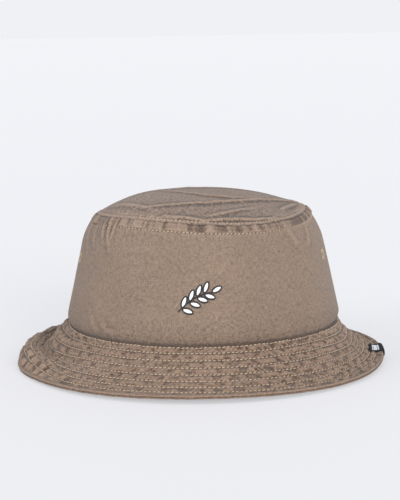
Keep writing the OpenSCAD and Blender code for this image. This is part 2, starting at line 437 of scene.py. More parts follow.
def add_relief(piece: bpy.types.Object, values: Array) -> None:
    """Stores how high each point stands, as a tone with painted shade added in places, for the finish to
    read.
    """
    stored = piece.data.attributes.new(RELIEF, "FLOAT", "POINT")
    stored.data.foreach_set("value", values.astype(np.float32).ravel())


@dataclass
class ClothGrid:
    """A panel of cloth on a grid: an outer and an inner skin, closed round its borders."""

    outer: Array
    inner: Array
    uv: Array
    relief: Array
    under: Array | None = None
    closed: bool = False
    holes: Array | None = None

    def build(self, name: str) -> bpy.types.Object:
        """Builds the closed panel.

        Args:
            name: The piece's name.

        Returns:
            The piece, with its weave UV and its relief stored on it.
        """
        rows, cols = self.outer.shape[:2]
        index = np.arange(rows * cols).reshape(rows, cols)
        if self.closed:
            index = np.vstack([index, index[:1]])
        cells = np.stack([index[:-1, :-1], index[1:, :-1], index[1:, 1:], index[:-1, 1:]], -1)
        keep = np.ones(cells.shape[:2], bool) if self.holes is None else ~self.holes
        lift = rows * cols
        quads = cells[keep]
        faces = [quads, quads[:, ::-1] + lift]
        padded = np.pad(keep, 1)
        if self.closed:
            padded[0], padded[-1] = padded[-2], padded[1]
        inside = padded[1:-1, 1:-1]
        sides = (
            (padded[:-2, 1:-1], 0, 3),
            (padded[2:, 1:-1], 2, 1),
            (padded[1:-1, :-2], 1, 0),
            (padded[1:-1, 2:], 3, 2),
        )
        for neighbour, p, q in sides:
            edge = cells[inside & ~neighbour]
            faces.append(np.stack([edge[:, p], edge[:, q], edge[:, q] + lift, edge[:, p] + lift], -1))
        points = np.concatenate([self.outer.reshape(-1, 3), self.inner.reshape(-1, 3)])
        used = np.zeros(len(points), bool)
        for f in faces:
            used[f.ravel()] = True
        renumber = np.cumsum(used) - 1
        piece = new_piece(name, points[used], [renumber[f] for f in faces if len(f)])
        add_uv(piece, np.tile(self.uv.reshape(-1, 2), (2, 1))[used])
        under = np.full(lift, 0.5) if self.under is None else self.under.ravel()
        add_relief(piece, np.concatenate([self.relief.ravel(), under])[used])
        return piece


TONE_DEPTHS = {3: 0.18 * MM, 14: 0.46 * MM}
"""The height that counts as full relief after so many rounds of blurring."""


def relief_tone(lift: Array, gain: float = 1.0) -> Array:
    """How far each point stands above or below its surroundings, near and farther off; the finish paints this
    as paler ridges and darker hollows, partly painted light and painted shade.

    Args:
        lift: The cloth's lift on its grid, in metres.
        gain: How strongly the relief shows.

    Returns:
        Values from 0 to 1, with 0.5 level.
    """
    tone = np.zeros(lift.shape)
    blurred = lift.copy()
    for turn in range(1, max(TONE_DEPTHS) + 1):
        padded = np.pad(blurred, 1, mode="edge")
        blurred = (padded[:-2, 1:-1] + padded[2:, 1:-1] + padded[1:-1, :-2] + padded[1:-1, 2:]) / 4
        if turn in TONE_DEPTHS:
            tone = tone + (lift - blurred) / TONE_DEPTHS[turn]
    return 0.5 + 0.5 * np.tanh(gain * tone)


@dataclass(frozen=True)
class Thread:
    """Short lengths of sewing thread as tapered tubes."""

    radius: float = 0.30 * MM
    sides: int = 7
    end_share: float = 0.45

    def build(self, name: str, paths: Array, up: Array) -> bpy.types.Object:
        """Sweeps one tube along every path.

        Args:
            name: The piece's name.
            paths: Points, as [thread, place along it, xyz].
            up: The cloth's outward direction at each thread, as [thread, xyz].

        Returns:
            The piece, with a UV that runs along and round each thread.
        """
        count, stops = paths.shape[:2]
        tangent = np.gradient(paths, axis=1)
        tangent /= np.linalg.norm(tangent, axis=-1, keepdims=True)
        side = np.cross(tangent, up[:, None, :])
        side /= np.linalg.norm(side, axis=-1, keepdims=True)
        lift = np.cross(side, tangent)
        turn = np.linspace(0, 2 * np.pi, self.sides, endpoint=False)
        ends = np.abs(np.linspace(-1, 1, stops)) ** 3
        radius = self.radius * (1 - (1 - self.end_share) * ends)[None, :, None, None]
        around = np.cos(turn)[:, None] * side[:, :, None, :] + np.sin(turn)[:, None] * lift[:, :, None, :]
        points = paths[:, :, None, :] + radius * around
        index = np.arange(count * stops * self.sides).reshape(count, stops, self.sides)
        a, b = index[:, :-1], index[:, 1:]
        walls = np.stack([a, b, np.roll(b, -1, 2), np.roll(a, -1, 2)], -1).reshape(-1, 4)
        caps = np.concatenate([index[:, 0], index[:, -1, ::-1]])
        piece = new_piece(name, points.reshape(-1, 3), [walls, caps])
        along = np.linspace(0, 1, stops) * np.linalg.norm(paths[:, -1] - paths[:, 0], axis=-1)[:, None]
        start = np.arange(count)[:, None] * 1.7 * MM
        u = np.broadcast_to((along + start)[:, :, None], index.shape)
        v = np.broadcast_to(turn / (2 * np.pi), index.shape)
        add_uv(piece, np.stack([u.ravel(), v.ravel()], -1))
        return piece


def dress(
    piece: bpy.types.Object,
    material: bpy.types.Material,
    nodes: Sequence[str] = (),
    body: str = HAT,
) -> bpy.types.Object:
    """Gives a piece its finish and its place in the frame.

    Args:
        piece: The new piece.
        material: Its finish.
        nodes: The frame's nodes that it stands for.
        body: The body that it rides on.

    Returns:
        The same piece.
    """
    piece.data.materials.clear()
    piece.data.materials.append(material)
    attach(piece, body)
    if nodes:
        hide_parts(*nodes)
    log.info("%s: %d faces", piece.name, len(piece.data.polygons))
    return piece


# --- Shader expressions ---


class Graph:
    """A material's node tree."""

    def __init__(self, name: str) -> None:
        """Starts an empty material.

        Args:
            name: The material's name.
        """
        self.material = bpy.data.materials.new(name)
        self.material.use_nodes = True
        self.tree = self.material.node_tree
        self.tree.nodes.clear()

    def node(
        self,
        kind: str,
        settings: dict[str, object] | None = None,
        sockets: dict[str | int, object] | None = None,
    ) -> bpy.types.Node:
        """Adds any node.

        Args:
            kind: The node's type, without its ShaderNode prefix.
            settings: Its properties; stops gives a colour ramp's (place, value) pairs.
            sockets: A value or a Shade for each named or numbered input.

        Returns:
            The node.
        """
        made = self.tree.nodes.new("ShaderNode" + kind)
        for key, value in (settings or {}).items():
            if key == "stops":
                ramp = made.color_ramp.elements
                while len(ramp) < len(value):
                    ramp.new(0.5)
                for element, (place, level) in zip(ramp, value):
                    element.position = place
                    element.color = (level, level, level, 1.0)
            else:
                setattr(made, key, value)
        for key, value in (sockets or {}).items():
            if isinstance(value, Shade):
                self.tree.links.new(value.socket, made.inputs[key])
            elif isinstance(value, tuple) and len(value) == 3 and made.inputs[key].type == "RGBA":
                made.inputs[key].default_value = (*value, 1.0)
            else:
                made.inputs[key].default_value = value
        return made

    def shade(
        self,
        kind: str,
        output: str | int,
        settings: dict[str, object] | None = None,
        sockets: dict[str | int, object] | None = None,
    ) -> "Shade":
        """Adds any node and gives one of its outputs as an expression."""
        return Shade(self, self.node(kind, settings, sockets).outputs[output])

    def mix(self, share: "Shade | float", first: "Shade | Colour", second: "Shade | Colour") -> "Shade":
        """The colour that goes from first to second as share goes from 0 to 1."""
        sockets = {"Factor": share, 6: first, 7: second}
        return self.shade("Mix", 2, {"data_type": "RGBA"}, sockets)

    def noise(self, where: "Shade", scale: float, detail: float = 2.0, roughness: float = 0.5) -> "Shade":
        """Noise from 0 to 1, with scale cells in a metre."""
        sockets = {"Vector": where, "Scale": scale, "Detail": detail, "Roughness": roughness}
        return self.shade("TexNoise", "Fac", None, sockets)

    def streaks(self, u: "Shade", v: "Shade", along_u: float, along_v: float) -> "Shade":
        """Noise that is drawn out along the yarns, with so many cells in a metre each way."""
        where = self.shade("CombineXYZ", "Vector", None, {0: u * along_u, 1: v * along_v})
        return self.noise(where, 1.0, 2.0, 0.6)

    def place(self) -> "Shade":
        """Where a point is on the object, in metres."""
        return self.shade("TexCoord", "Object")

    def uv(self) -> tuple["Shade", "Shade"]:
        """The two directions of the cloth, in metres."""
        split = self.node("SeparateXYZ", None, {0: self.shade("UVMap", "UV", {"uv_map": WEAVE_UV})})
        return Shade(self, split.outputs[0]), Shade(self, split.outputs[1])

    def value(self, name: str) -> "Shade":
        """A number that was stored on the mesh."""
        return self.shade("Attribute", "Fac", {"attribute_name": name})

    def finish(
        self,
        colour: "Shade | Colour",
        roughness: "Shade | float",
        height: "Shade | None" = None,
        depth: float = 0.0,
        constants: dict[str, object] | None = None,
    ) -> bpy.types.Material:
        """Closes the material with one surface shader.

        Args:
            colour: Base colour.
            roughness: Roughness.
            height: Relief for the bump, in units of depth.
            depth: The relief's height in metres.
            constants: Other sockets of the shader, the same all over.

        Returns:
            The material.
        """
        sockets: dict[str | int, object] = {"Base Color": colour, "Roughness": roughness, **(constants or {})}
        if height is not None:
            bump = {"Height": height, "Distance": depth, "Strength": 1.0}
            sockets["Normal"] = self.shade("Bump", "Normal", None, bump)
        surface = self.shade("BsdfPrincipled", "BSDF", None, sockets)
        self.node("OutputMaterial", None, {"Surface": surface})
        return self.material


class Shade:
    """A socket's value, on which Python's own arithmetic works."""

    def __init__(self, graph: Graph, socket: bpy.types.NodeSocket) -> None:
        """Wraps an output socket of a graph."""
        self.graph = graph
        self.socket = socket

    def _maths(self, operation: str, first: object, second: object = 0.0, clamp: bool = False) -> "Shade":
        """Adds one Math node."""
        settings = {"operation": operation, "use_clamp": clamp}
        return self.graph.shade("Math", 0, settings, {0: first, 1: second})

    def __add__(self, other: object) -> "Shade":
        """self + other."""
        return self._maths("ADD", self, other)

    __radd__ = __add__

    def __sub__(self, other: object) -> "Shade":
        """self - other."""
        return self._maths("SUBTRACT", self, other)

    def __rsub__(self, other: object) -> "Shade":
        """other - self."""
        return self._maths("SUBTRACT", other, self)

    def __mul__(self, other: object) -> "Shade":
        """self * other."""
        return self._maths("MULTIPLY", self, other)

    __rmul__ = __mul__

    def __mod__(self, other: object) -> "Shade":
        """self wrapped to the range from 0 to other."""
        return self._maths("FLOORED_MODULO", self, other)

    def __gt__(self, other: object) -> "Shade":
        """1 where self is greater than other."""
        return self._maths("GREATER_THAN", self, other)

    def __lt__(self, other: object) -> "Shade":
        """1 where self is less than other."""
        return self._maths("LESS_THAN", self, other)

    def wave(self) -> "Shade":
        """A sine of self, from 0 to 1, one wave for each unit."""
        return self._maths("SINE", self * (2 * math.pi)) * 0.5 + 0.5

    def clamped(self) -> "Shade":
        """self kept between 0 and 1."""
        return self._maths("ADD", self, 0.0, clamp=True)


# --- Finishes ---


def shaded(colour: Colour, share: float, lift: float = 0.0) -> Colour:
    """A colour with each part scaled by share and raised by lift."""
    return tuple(part * share + lift for part in colour)


@dataclass(frozen=True)
class TwillFinish:
    """Garment-washed cotton twill: diagonal ribs, uneven dye, raised places paler and sunken ones darker,
    partly faded dye and partly painted light and painted shade.
    """

    name: str
    colour: Colour
    # Paler colour of raised places: partly faded dye, partly painted light on ridges.
    pale_wear_and_light: Colour
    # Darker colour of sunken places: partly uneven dye, partly painted shade in hollows.
    deep: Colour
    fleck: Colour = (0.36, 0.26, 0.17)
    rib: float = 0.62 * MM
    yarn: float = 0.42 * MM
    rib_depth: float = 0.07 * MM
    wear_and_light_share: float = 0.75
    grain: float = 1.3

    def material(self) -> bpy.types.Material:
        """Builds the material.

        Returns:
            The material, ready to go on a piece.
        """
        g = Graph(self.name)
        u, v = g.uv()
        place = g.place()
        wobble = g.noise(place, 900.0, 1.0)
        ribs = ((u + v * 1.6) * (1 / self.rib) + wobble * 0.9).wave()
        yarns = ((v - u * 0.35) * (1 / self.yarn) + wobble).wave()
        slubs = g.noise(place, 1300.0, 3.0, 0.7)
        warp = g.streaks(u, v, 1400.0, 330.0)
        weft = g.streaks(u, v, 380.0, 1300.0)
        heather = g.noise(place, 760.0, 3.0, 0.75)
        cloudy = g.noise(place, 34.0, 3.0, 0.6)
        flecks = (g.noise(place, 680.0, 1.0) - 0.68) * 6.0
        relief = g.value(RELIEF)
        grain = (warp - 0.5) * 1.3 + (weft - 0.5) * 1.1 + (heather - 0.5) * 1.4 + (slubs - 0.5) * 0.8
        # From the stored relief, raised places go paler and sunken ones darker: partly faded dye, partly
        # painted light and painted shade.
        pale_wear_and_light = (relief - 0.5) * 1.3 + (cloudy - 0.5) * 0.7 + grain * self.grain
        sunk = (0.5 - relief) * 1.9 - (cloudy - 0.5) * 0.3 - grain * self.grain
        base = g.mix((ribs * 0.35 + slubs * 0.4 - 0.12).clamped() * 0.45, self.colour, self.pale_wear_and_light)
        base = g.mix(pale_wear_and_light.clamped() * self.wear_and_light_share, base, self.pale_wear_and_light)
        base = g.mix(sunk.clamped() * 0.9, base, self.deep)
        base = g.mix(flecks.clamped() * 0.35, base, self.fleck)
        height = ribs * 0.6 + yarns * 0.25 + slubs * 0.5
        return g.finish(base, 0.93, height, self.rib_depth, {"Sheen Weight": 0.08, "Sheen Roughness": 0.6})


@dataclass(frozen=True)
class ThreadFinish:
    """Plied thread: a twist along each stitch and a soft lustre."""

    name: str
    colour: Colour
    dark: Colour
    roughness: float = 0.6
    twist: float = 0.9 * MM

    def material(self) -> bpy.types.Material:
        """Builds the material.

        Returns:
            The material, ready to go on a piece.
        """
        g = Graph(self.name)
        u, v = g.uv()
        plies = (u * (1 / self.twist) + v * 2.0).wave()
        uneven = g.noise(g.place(), 260.0, 2.0)
        shade = ((1.0 - plies) * 0.45 + (uneven - 0.5) * 0.9).clamped()
        colour = g.mix(shade, self.colour, self.dark)
        return g.finish(colour, self.roughness, plies, 0.05 * MM, {"Sheen Weight": 0.1})


@dataclass(frozen=True)
class RibbonFinish:
    """Fine woven ribbon, plain or with a generic woven pattern of blocks."""

    name: str
    colour: Colour
    figure: Colour
    low: tuple[float, float] = (0.0, 0.0)
    high: tuple[float, float] = (0.0, 0.0)
    block: float = 2.0 * MM
    weave: float = 0.3 * MM

    def material(self) -> bpy.types.Material:
        """Builds the material.

        Returns:
            The material, ready to go on a piece.
        """
        g = Graph(self.name)
        u, v = g.uv()
        warp = (u * (1 / self.weave)).wave()
        weft = (v * (1 / self.weave)).wave()
        inside = (u > self.low[0]) * (u < self.high[0]) * (v > self.low[1]) * (v < self.high[1])
        slanted = (u + v * 0.5) * (1 / self.block)
        stripes = (slanted % 1.0) > 0.2
        bars = (v * (1 / self.block) * 0.9) % 1.0 > 0.12
        figure = inside * stripes * bars
        dusty = g.noise(g.place(), 700.0, 3.0, 0.7)
        ground = g.mix((dusty * 0.35).clamped(), self.colour, shaded(self.colour, 0.8, 0.03))
        thread = g.mix((weft * 0.25).clamped(), self.figure, shaded(self.figure, 0.75))
        colour = g.mix(figure, ground, thread)
        height = warp * 0.5 + weft * 0.5 + figure * 0.6
        return g.finish(colour, 0.8, height, 0.06 * MM, {"Specular IOR Level": 0.15})


@dataclass(frozen=True)
class FeltFinish:
    """Stiff bonded felt: tangled fibres with small bonded dots."""

    name: str
    colour: Colour

    def material(self) -> bpy.types.Material:
        """Builds the material.

        Returns:
            The material, ready to go on a piece.
        """
        g = Graph(self.name)
        fibres = g.noise(g.place(), 1800.0, 4.0, 0.8)
        dots = g.shade("TexVoronoi", "Distance", None, {"Vector": g.place(), "Scale": 700.0})
        colour = g.mix((fibres * 0.8).clamped(), self.colour, shaded(self.colour, 0.7))
        return g.finish(colour, 0.9, fibres + dots * 0.4, 0.05 * MM)


@dataclass(frozen=True)
class StudioFinish:
    """Pale matt paper over a light table."""

    name: str
    colour: Colour
    light: Colour
    glow: float

    def material(self) -> bpy.types.Material:
        """Builds the material.

        Returns:
            The material, ready to go on a piece.
        """
        g = Graph(self.name)
        tooth = g.noise(g.place(), 60.0, 3.0)
        colour = g.mix(tooth * 0.05, self.colour, shaded(self.colour, 0.97))
        lit = {"Emission Color": (*self.light, 1.0), "Emission Strength": self.glow}
        return g.finish(colour, 0.85, constants=lit)


# --- Studio ---


@dataclass
class Studio:
    """Floor, lights and camera."""

    camera_distance: float = 1.090
    camera_height: float = 0.2414
    camera_azimuth: float = 2.0
    pitch: float = 8.54
    roll: float = 1.03
    lens: float = 112.0
    sensor: float = 36.0
    aim_right: float = -1.45 * MM
    floor_r: float = 19.0
    floor_rings: int = 24
    floor_turns: int = 96
    floor_z: float = -0.0011
    floor_colour: Colour = (0.33, 0.33, 0.34)
    floor_glow: float = 0.505
    surround: Colour = (0.871, 0.880, 0.913)
    key_from: tuple[float, float, float] = (0.42, -1.0, 0.25)
    key_strength: float = 2.9
    light_spread: float = 34.0
    light_colour: Colour = (1.0, 0.985, 0.955)
    fill_from: tuple[float, float, float] = (-1.0, -0.5, 0.3)
    fill_strength: float = 1.2

    def build(self) -> None:
        """Makes the whole studio."""
        self.floor()
        self.lights()
        self.camera()
        bpy.context.scene.view_settings.view_transform = "Standard"

    def floor(self) -> None:
        """A broad flat floor, finely divided towards the middle."""
        radii = self.floor_r * np.linspace(0.02, 1, self.floor_rings) ** 2.5
        turn = np.linspace(0, 2 * np.pi, self.floor_turns, endpoint=False)
        ring = np.stack([np.outer(np.cos(turn), radii), np.outer(np.sin(turn), radii)], -1)
        points = np.concatenate([ring, np.full((*ring.shape[:2], 1), self.floor_z)], -1)
        index = np.arange(self.floor_turns * self.floor_rings).reshape(self.floor_turns, -1)
        after = np.roll(index, -1, 0)
        quads = np.stack([index[:, :-1], index[:, 1:], after[:, 1:], after[:, :-1]], -1).reshape(-1, 4)
        floor = new_piece("studio_floor", points.reshape(-1, 3), [quads, index[:, 0][None, :]])
        paper = StudioFinish("pale_paper", self.floor_colour, self.surround, self.floor_glow)
        floor.data.materials.append(paper.material())

    def lights(self) -> None:
        """An even pale surround, a soft key from the front a little to the hat's left, and a weaker fill."""
        world = bpy.data.worlds.new("surround")
        world.use_nodes = True
        background = world.node_tree.nodes["Background"]
        background.inputs["Color"].default_value = (*self.surround, 1.0)
        background.inputs["Strength"].default_value = 1.0
        bpy.context.scene.world = world
        self.sun("key", self.key_from, self.key_strength)
        self.sun("fill", self.fill_from, self.fill_strength)

    def sun(self, name: str, direction: tuple[float, float, float], strength: float) -> None:
        """Adds one distant, soft light.

        Args:
            name: The light's name.
            direction: Where it stands, seen from the hat.
            strength: Its strength in watts per square metre.
        """
        data = bpy.data.lights.new(name, "SUN")
        data.energy, data.angle = strength, math.radians(self.light_spread)
        data.color = self.light_colour
        light = bpy.data.objects.new(name, data)
        light.rotation_mode = "QUATERNION"
        light.rotation_quaternion = (-Vector(direction)).to_track_quat("-Z", "Y")
        bpy.context.scene.collection.objects.link(light)

    def camera(self) -> None:
        """Sets the camera in front of the hat, a little above the brim."""
        data = bpy.data.cameras.new("camera")
        data.lens, data.sensor_width = self.lens, self.sensor
        data.clip_start, data.clip_end = 0.05, 20.0
        camera = bpy.data.objects.new("camera", data)
        azimuth, pitch = math.radians(self.camera_azimuth), math.radians(self.pitch)
        right = Vector((math.cos(azimuth), math.sin(azimuth), 0.0))
        level = Vector((-math.sin(azimuth), math.cos(azimuth), 0.0))
        camera.location = -level * self.camera_distance + Vector((0, 0, self.camera_height))
        ahead = level * math.cos(pitch) - Vector((0, 0, math.sin(pitch)))
        ahead += right * (self.aim_right / self.camera_distance)
        camera.rotation_mode = "QUATERNION"
        rolled = Quaternion((0, 0, 1), math.radians(-self.roll))
        camera.rotation_quaternion = ahead.to_track_quat("-Z", "Y") @ rolled
        bpy.context.scene.collection.objects.link(camera)
        bpy.context.scene.camera = camera


# --- The hat's finishes ---

WASHED_TWILL = TwillFinish(
    "washed_taupe_twill",
    colour=(0.168, 0.118, 0.086),
    pale_wear_and_light=(0.285, 0.208, 0.155),
    deep=(0.062, 0.040, 0.028),
    grain=1.4,
)
# The brim's copy of the wall's cloth is drawn darker: painted shade over the brim and its puckers.
CRUMPLED_TWILL = TwillFinish(
    "crumpled_taupe_twill",
    colour=(0.143, 0.093, 0.065),
    pale_wear_and_light=(0.285, 0.195, 0.138),
    deep=(0.042, 0.026, 0.018),
    wear_and_light_share=0.9,
    grain=1.5,
)
# The top's copy of the cloth is drawn darker than the wall's, so that the painted light on its crease ridges
# stands out.
FADED_TWILL = TwillFinish(
    "faded_taupe_twill",
    colour=(0.152, 0.104, 0.076),
    pale_wear_and_light=(0.320, 0.232, 0.174),
    deep=(0.045, 0.030, 0.022),
    grain=2.6,
)
LINING_TWILL = TwillFinish(
    "sweatband_twill",
    colour=(0.165, 0.120, 0.092),
    pale_wear_and_light=(0.26, 0.20, 0.155),
    deep=(0.085, 0.060, 0.044),
    wear_and_light_share=0.4,
)
SEWING_THREAD = ThreadFinish("sewing_thread", (0.46, 0.355, 0.25), (0.24, 0.175, 0.115))
EYELET_THREAD = ThreadFinish("eyelet_thread", (0.36, 0.275, 0.18), (0.19, 0.14, 0.09), 0.55)
WHITE_THREAD = ThreadFinish("white_thread", (0.80, 0.80, 0.82), (0.50, 0.50, 0.54), 0.45)
BLACK_THREAD = ThreadFinish("black_thread", (0.012, 0.012, 0.014), (0.004, 0.004, 0.005), 0.5)
SEAM_TAPE = RibbonFinish("seam_tape", (0.150, 0.112, 0.086), (0.150, 0.112, 0.086), weave=0.55 * MM)
BLACK_RIBBON = RibbonFinish(
    "black_ribbon",
    colour=(0.010, 0.011, 0.015),
    figure=(0.88, 0.90, 0.94),
    low=(-7.5 * MM, 2.6 * MM),
    high=(7.5 * MM, 9.4 * MM),
    block=3.4 * MM,
)
WHITE_RIBBON = RibbonFinish(
    "white_ribbon",
    colour=(0.78, 0.77, 0.74),
    figure=(0.09, 0.09, 0.10),
    low=(-13.0 * MM, -4.0 * MM),
    high=(13.0 * MM, 4.0 * MM),
    block=3.0 * MM,
)
STIFF_FELT = FeltFinish("stiffener_felt", (0.52, 0.51, 0.49))


# --- Sewing ---


@dataclass(frozen=True)
class Cut:
    """The flat shape that a piece of cloth was cut to."""

    flat: tuple[float, float]
    area: float | None = None
    held: Held = Held.STRETCHED
    rests_on: tuple[str, ...] = ()

    def declare(self, piece: bpy.types.Object, sewn: Sequence[bpy.types.Object] = ()) -> None:
        """Does nothing: the cut is not recorded on the piece.

        Args:
            piece: The piece of cloth; not used.
            sewn: Other pieces that are sewn to it; not used.
        """


Lift = Callable[[Array, Array], Array]
TIGHT_SIDE = Zone(-85, 30, 22)


@dataclass(frozen=True)
class Row:
    """A closed row of lockstitches round the hat."""

    face: Face
    t: float
    pitch: float = 3.0 * MM
    deep: float = 0.0
    high: float = 0.26 * MM
    sink: float = 0.55 * MM
    pull: float = 0.16 * MM
    tight: float = 0.20 * MM

    @property
    def count(self) -> int:
        """Number of stitches in the row."""
        ring = FORM.skin(self.face, np.array(self.t), np.linspace(0, 360, 241))
        return int(np.linalg.norm(np.diff(ring, axis=0), axis=1).sum() / self.pitch)

    def holes(self, a: Array) -> Array:
        """Where the needle went through: 1 at a hole, 0 along the thread."""
        return np.cos(np.radians(a) / 2 * self.count) ** 6

    def sunk(self, t: Array, a: Array, depth: float, width: float = 0.5 * MM) -> Array:
        """How far the row draws the cloth down.

        Args:
            t: Places across the cloth.
            a: Directions in degrees.
            depth: Depth along the thread; the holes are deeper.
            width: Half width of the groove.

        Returns:
            The depth in metres.
        """
        return depth * dip((t - self.t) * FORM.run(self.face), width) * (1.0 + 0.9 * self.holes(a))

    def stitches(self, lift: Lift, side: float = 1.0, seed: int = 1) -> tuple[Array, Array]:
        """Lays the row's stitches on the cloth.

        Args:
            lift: The cloth's lift above its smooth form, at places and directions.
            side: 1 on the outward side of the surface, -1 on the other.
            seed: Seed of the small unevenness in the sewing.

        Returns:
            The stitches' paths, and the direction away from the cloth at each.
        """
        rng = np.random.default_rng(seed)
        stops = np.linspace(-1, 1, 7)
        turn = 360.0 / self.count
        middle = (np.arange(self.count) + 0.5 + rng.normal(0, 0.03, self.count)) * turn
        half = rng.uniform(0.38, 0.45, self.count) * turn
        lean = rng.normal(0.20, 0.06, self.count) * MM / FORM.run(self.face)
        a = middle[:, None] + half[:, None] * stops
        t = self.t + lean[:, None] * stops
        pulled = self.pull * np.maximum(0.0, Grain(seed, 46, 1).at(middle, np.zeros(self.count)))[:, None]
        hump = self.high - pulled - self.sink * np.abs(stops) ** 3.5
        above = hump - self.tight * TIGHT_SIDE.at(a) - self.deep
        paths = FORM.skin(self.face, t, a, lift(t, a) + side * above)
        return paths, side * FORM.outward(self.face, np.full(self.count, self.t), middle)


def sew(
    name: str,
    node: str,
    runs: Sequence[tuple[Array, Array]],
    finish: ThreadFinish,
    thread: Thread = Thread(),
) -> bpy.types.Object:
    """Makes one piece of several runs of stitches.

    Args:
        name: The piece's name.
        node: The frame's node that it stands for.
        runs: The stitches' paths and outward directions, run by run.
        finish: The thread's finish.
        thread: The thread's thickness.

    Returns:
        The piece.
    """
    paths, out = (np.concatenate(part) for part in zip(*runs))
    return dress(thread.build(name, paths, out), finish.material(), [node])


# --- Brim ---


LIMP_TWILL = {
    "quality": 5,
    "mass": 0.3,
    "air_damping": 5,
    "tension_stiffness": 15,
    "compression_stiffness": 15,
    "shear_stiffness": 6,
    "bending_stiffness": 9.0,
    "tension_damping": 5,
    "compression_damping": 5,
    "shear_damping": 5,
    "bending_damping": 0.5,
}


@dataclass
class Ripples:
    """The ripples that sewing and washing leave in the cloth between the brim's rows.

    A ring of cloth that is slightly too large for its stiffener is pinned along every
    row of stitching and let go, so that it buckles between them.
    """

    around: int = 720
    cells: int = 6
    bands: int = 8
    slack: float = 0.036
    frames: int = 12
    enlarged: float = 100.0
    first_lift: float = 0.12 * MM
    first_noise: float = 0.10 * MM
    quick_gain: float = 2.2
    pressed: int = 3
    seed: int = 3
    height: Array = field(init=False)

    def __post_init__(self) -> None:
        """Works the ripples out once."""
        across = self.bands * self.cells + 1
        a = np.linspace(-180, 180, self.around, endpoint=False)[:, None]
        t = np.linspace(0, 1, across)[None, :]
        loose = np.sin(np.pi * (np.arange(across) % self.cells) / self.cells)
        noise = np.random.default_rng(self.seed).normal(0, 1, (self.around, across))
        for _ in range(2):
            noise = (np.roll(noise, 1, 0) + 2 * noise + np.roll(noise, -1, 0)) / 4
            noise[:, 1:-1] = (noise[:, :-2] + 2 * noise[:, 1:-1] + noise[:, 2:]) / 4
        start = loose * (self.first_lift + self.first_noise * noise / noise.std())
        moved = self._let_go(a, t, start)
        height = ((moved - FORM.skin(Face.BRIM, t, a)) * FORM.outward(Face.BRIM, t, a)).sum(-1)
        for _ in range(self.pressed):
            height = (np.roll(height, -1, 0) + 2 * height + np.roll(height, 1, 0)) / 4
        self.height = height

    def _let_go(self, a: Array, t: Array, start: Array) -> Array:
        """Lets the pinned ring of cloth buckle.

        Args:
            a: Directions of its points.
            t: Places of its points across the brim.
            start: Their first lift.

        Returns:
            Where its points come to rest.
        """
        points = FORM.skin(Face.BRIM, t, a, start)
        shape = points.shape
        index = np.arange(shape[0] * shape[1]).reshape(shape[:2])
        after = np.roll(index, -1, 0)
        quads = np.stack([index[:, :-1], after[:, :-1], after[:, 1:], index[:, 1:]], -1).reshape(-1, 4)
        ring = new_piece("loose_ring", points.reshape(-1, 3) * self.enlarged, [quads])
        pins = ring.vertex_groups.new(name="rows")
        pins.add(index[:, :: self.cells].ravel().tolist(), 1.0, "REPLACE")
        cloth = ring.modifiers.new("cloth", "CLOTH")
        for choice, value in dict(LIMP_TWILL, vertex_group_mass=pins.name, shrink_min=-self.slack).items():
            setattr(cloth.settings, choice, value)
        cloth.settings.effector_weights.gravity = 0
        cloth.collision_settings.use_collision = False
        cloth.point_cache.frame_start, cloth.point_cache.frame_end = 1, self.frames
        for frame_number in range(1, self.frames + 1):
            bpy.context.scene.frame_set(frame_number)
        shown = ring.evaluated_get(bpy.context.evaluated_depsgraph_get())
        moved = np.empty(len(shown.data.vertices) * 3, np.float32)
        shown.data.vertices.foreach_get("co", moved)
        bpy.data.objects.remove(ring)
        bpy.context.scene.frame_set(1)
        return moved.reshape(shape).astype(float) / self.enlarged

    def at(self, t: Array, a: Array) -> Array:
        """Lift of the ripples in metres, at places across and directions round the brim."""
        u = (np.asarray(a) + 180.0) / 360.0 * self.around
        return read_table(self.height, u, np.asarray(t) * self.bands * self.cells)


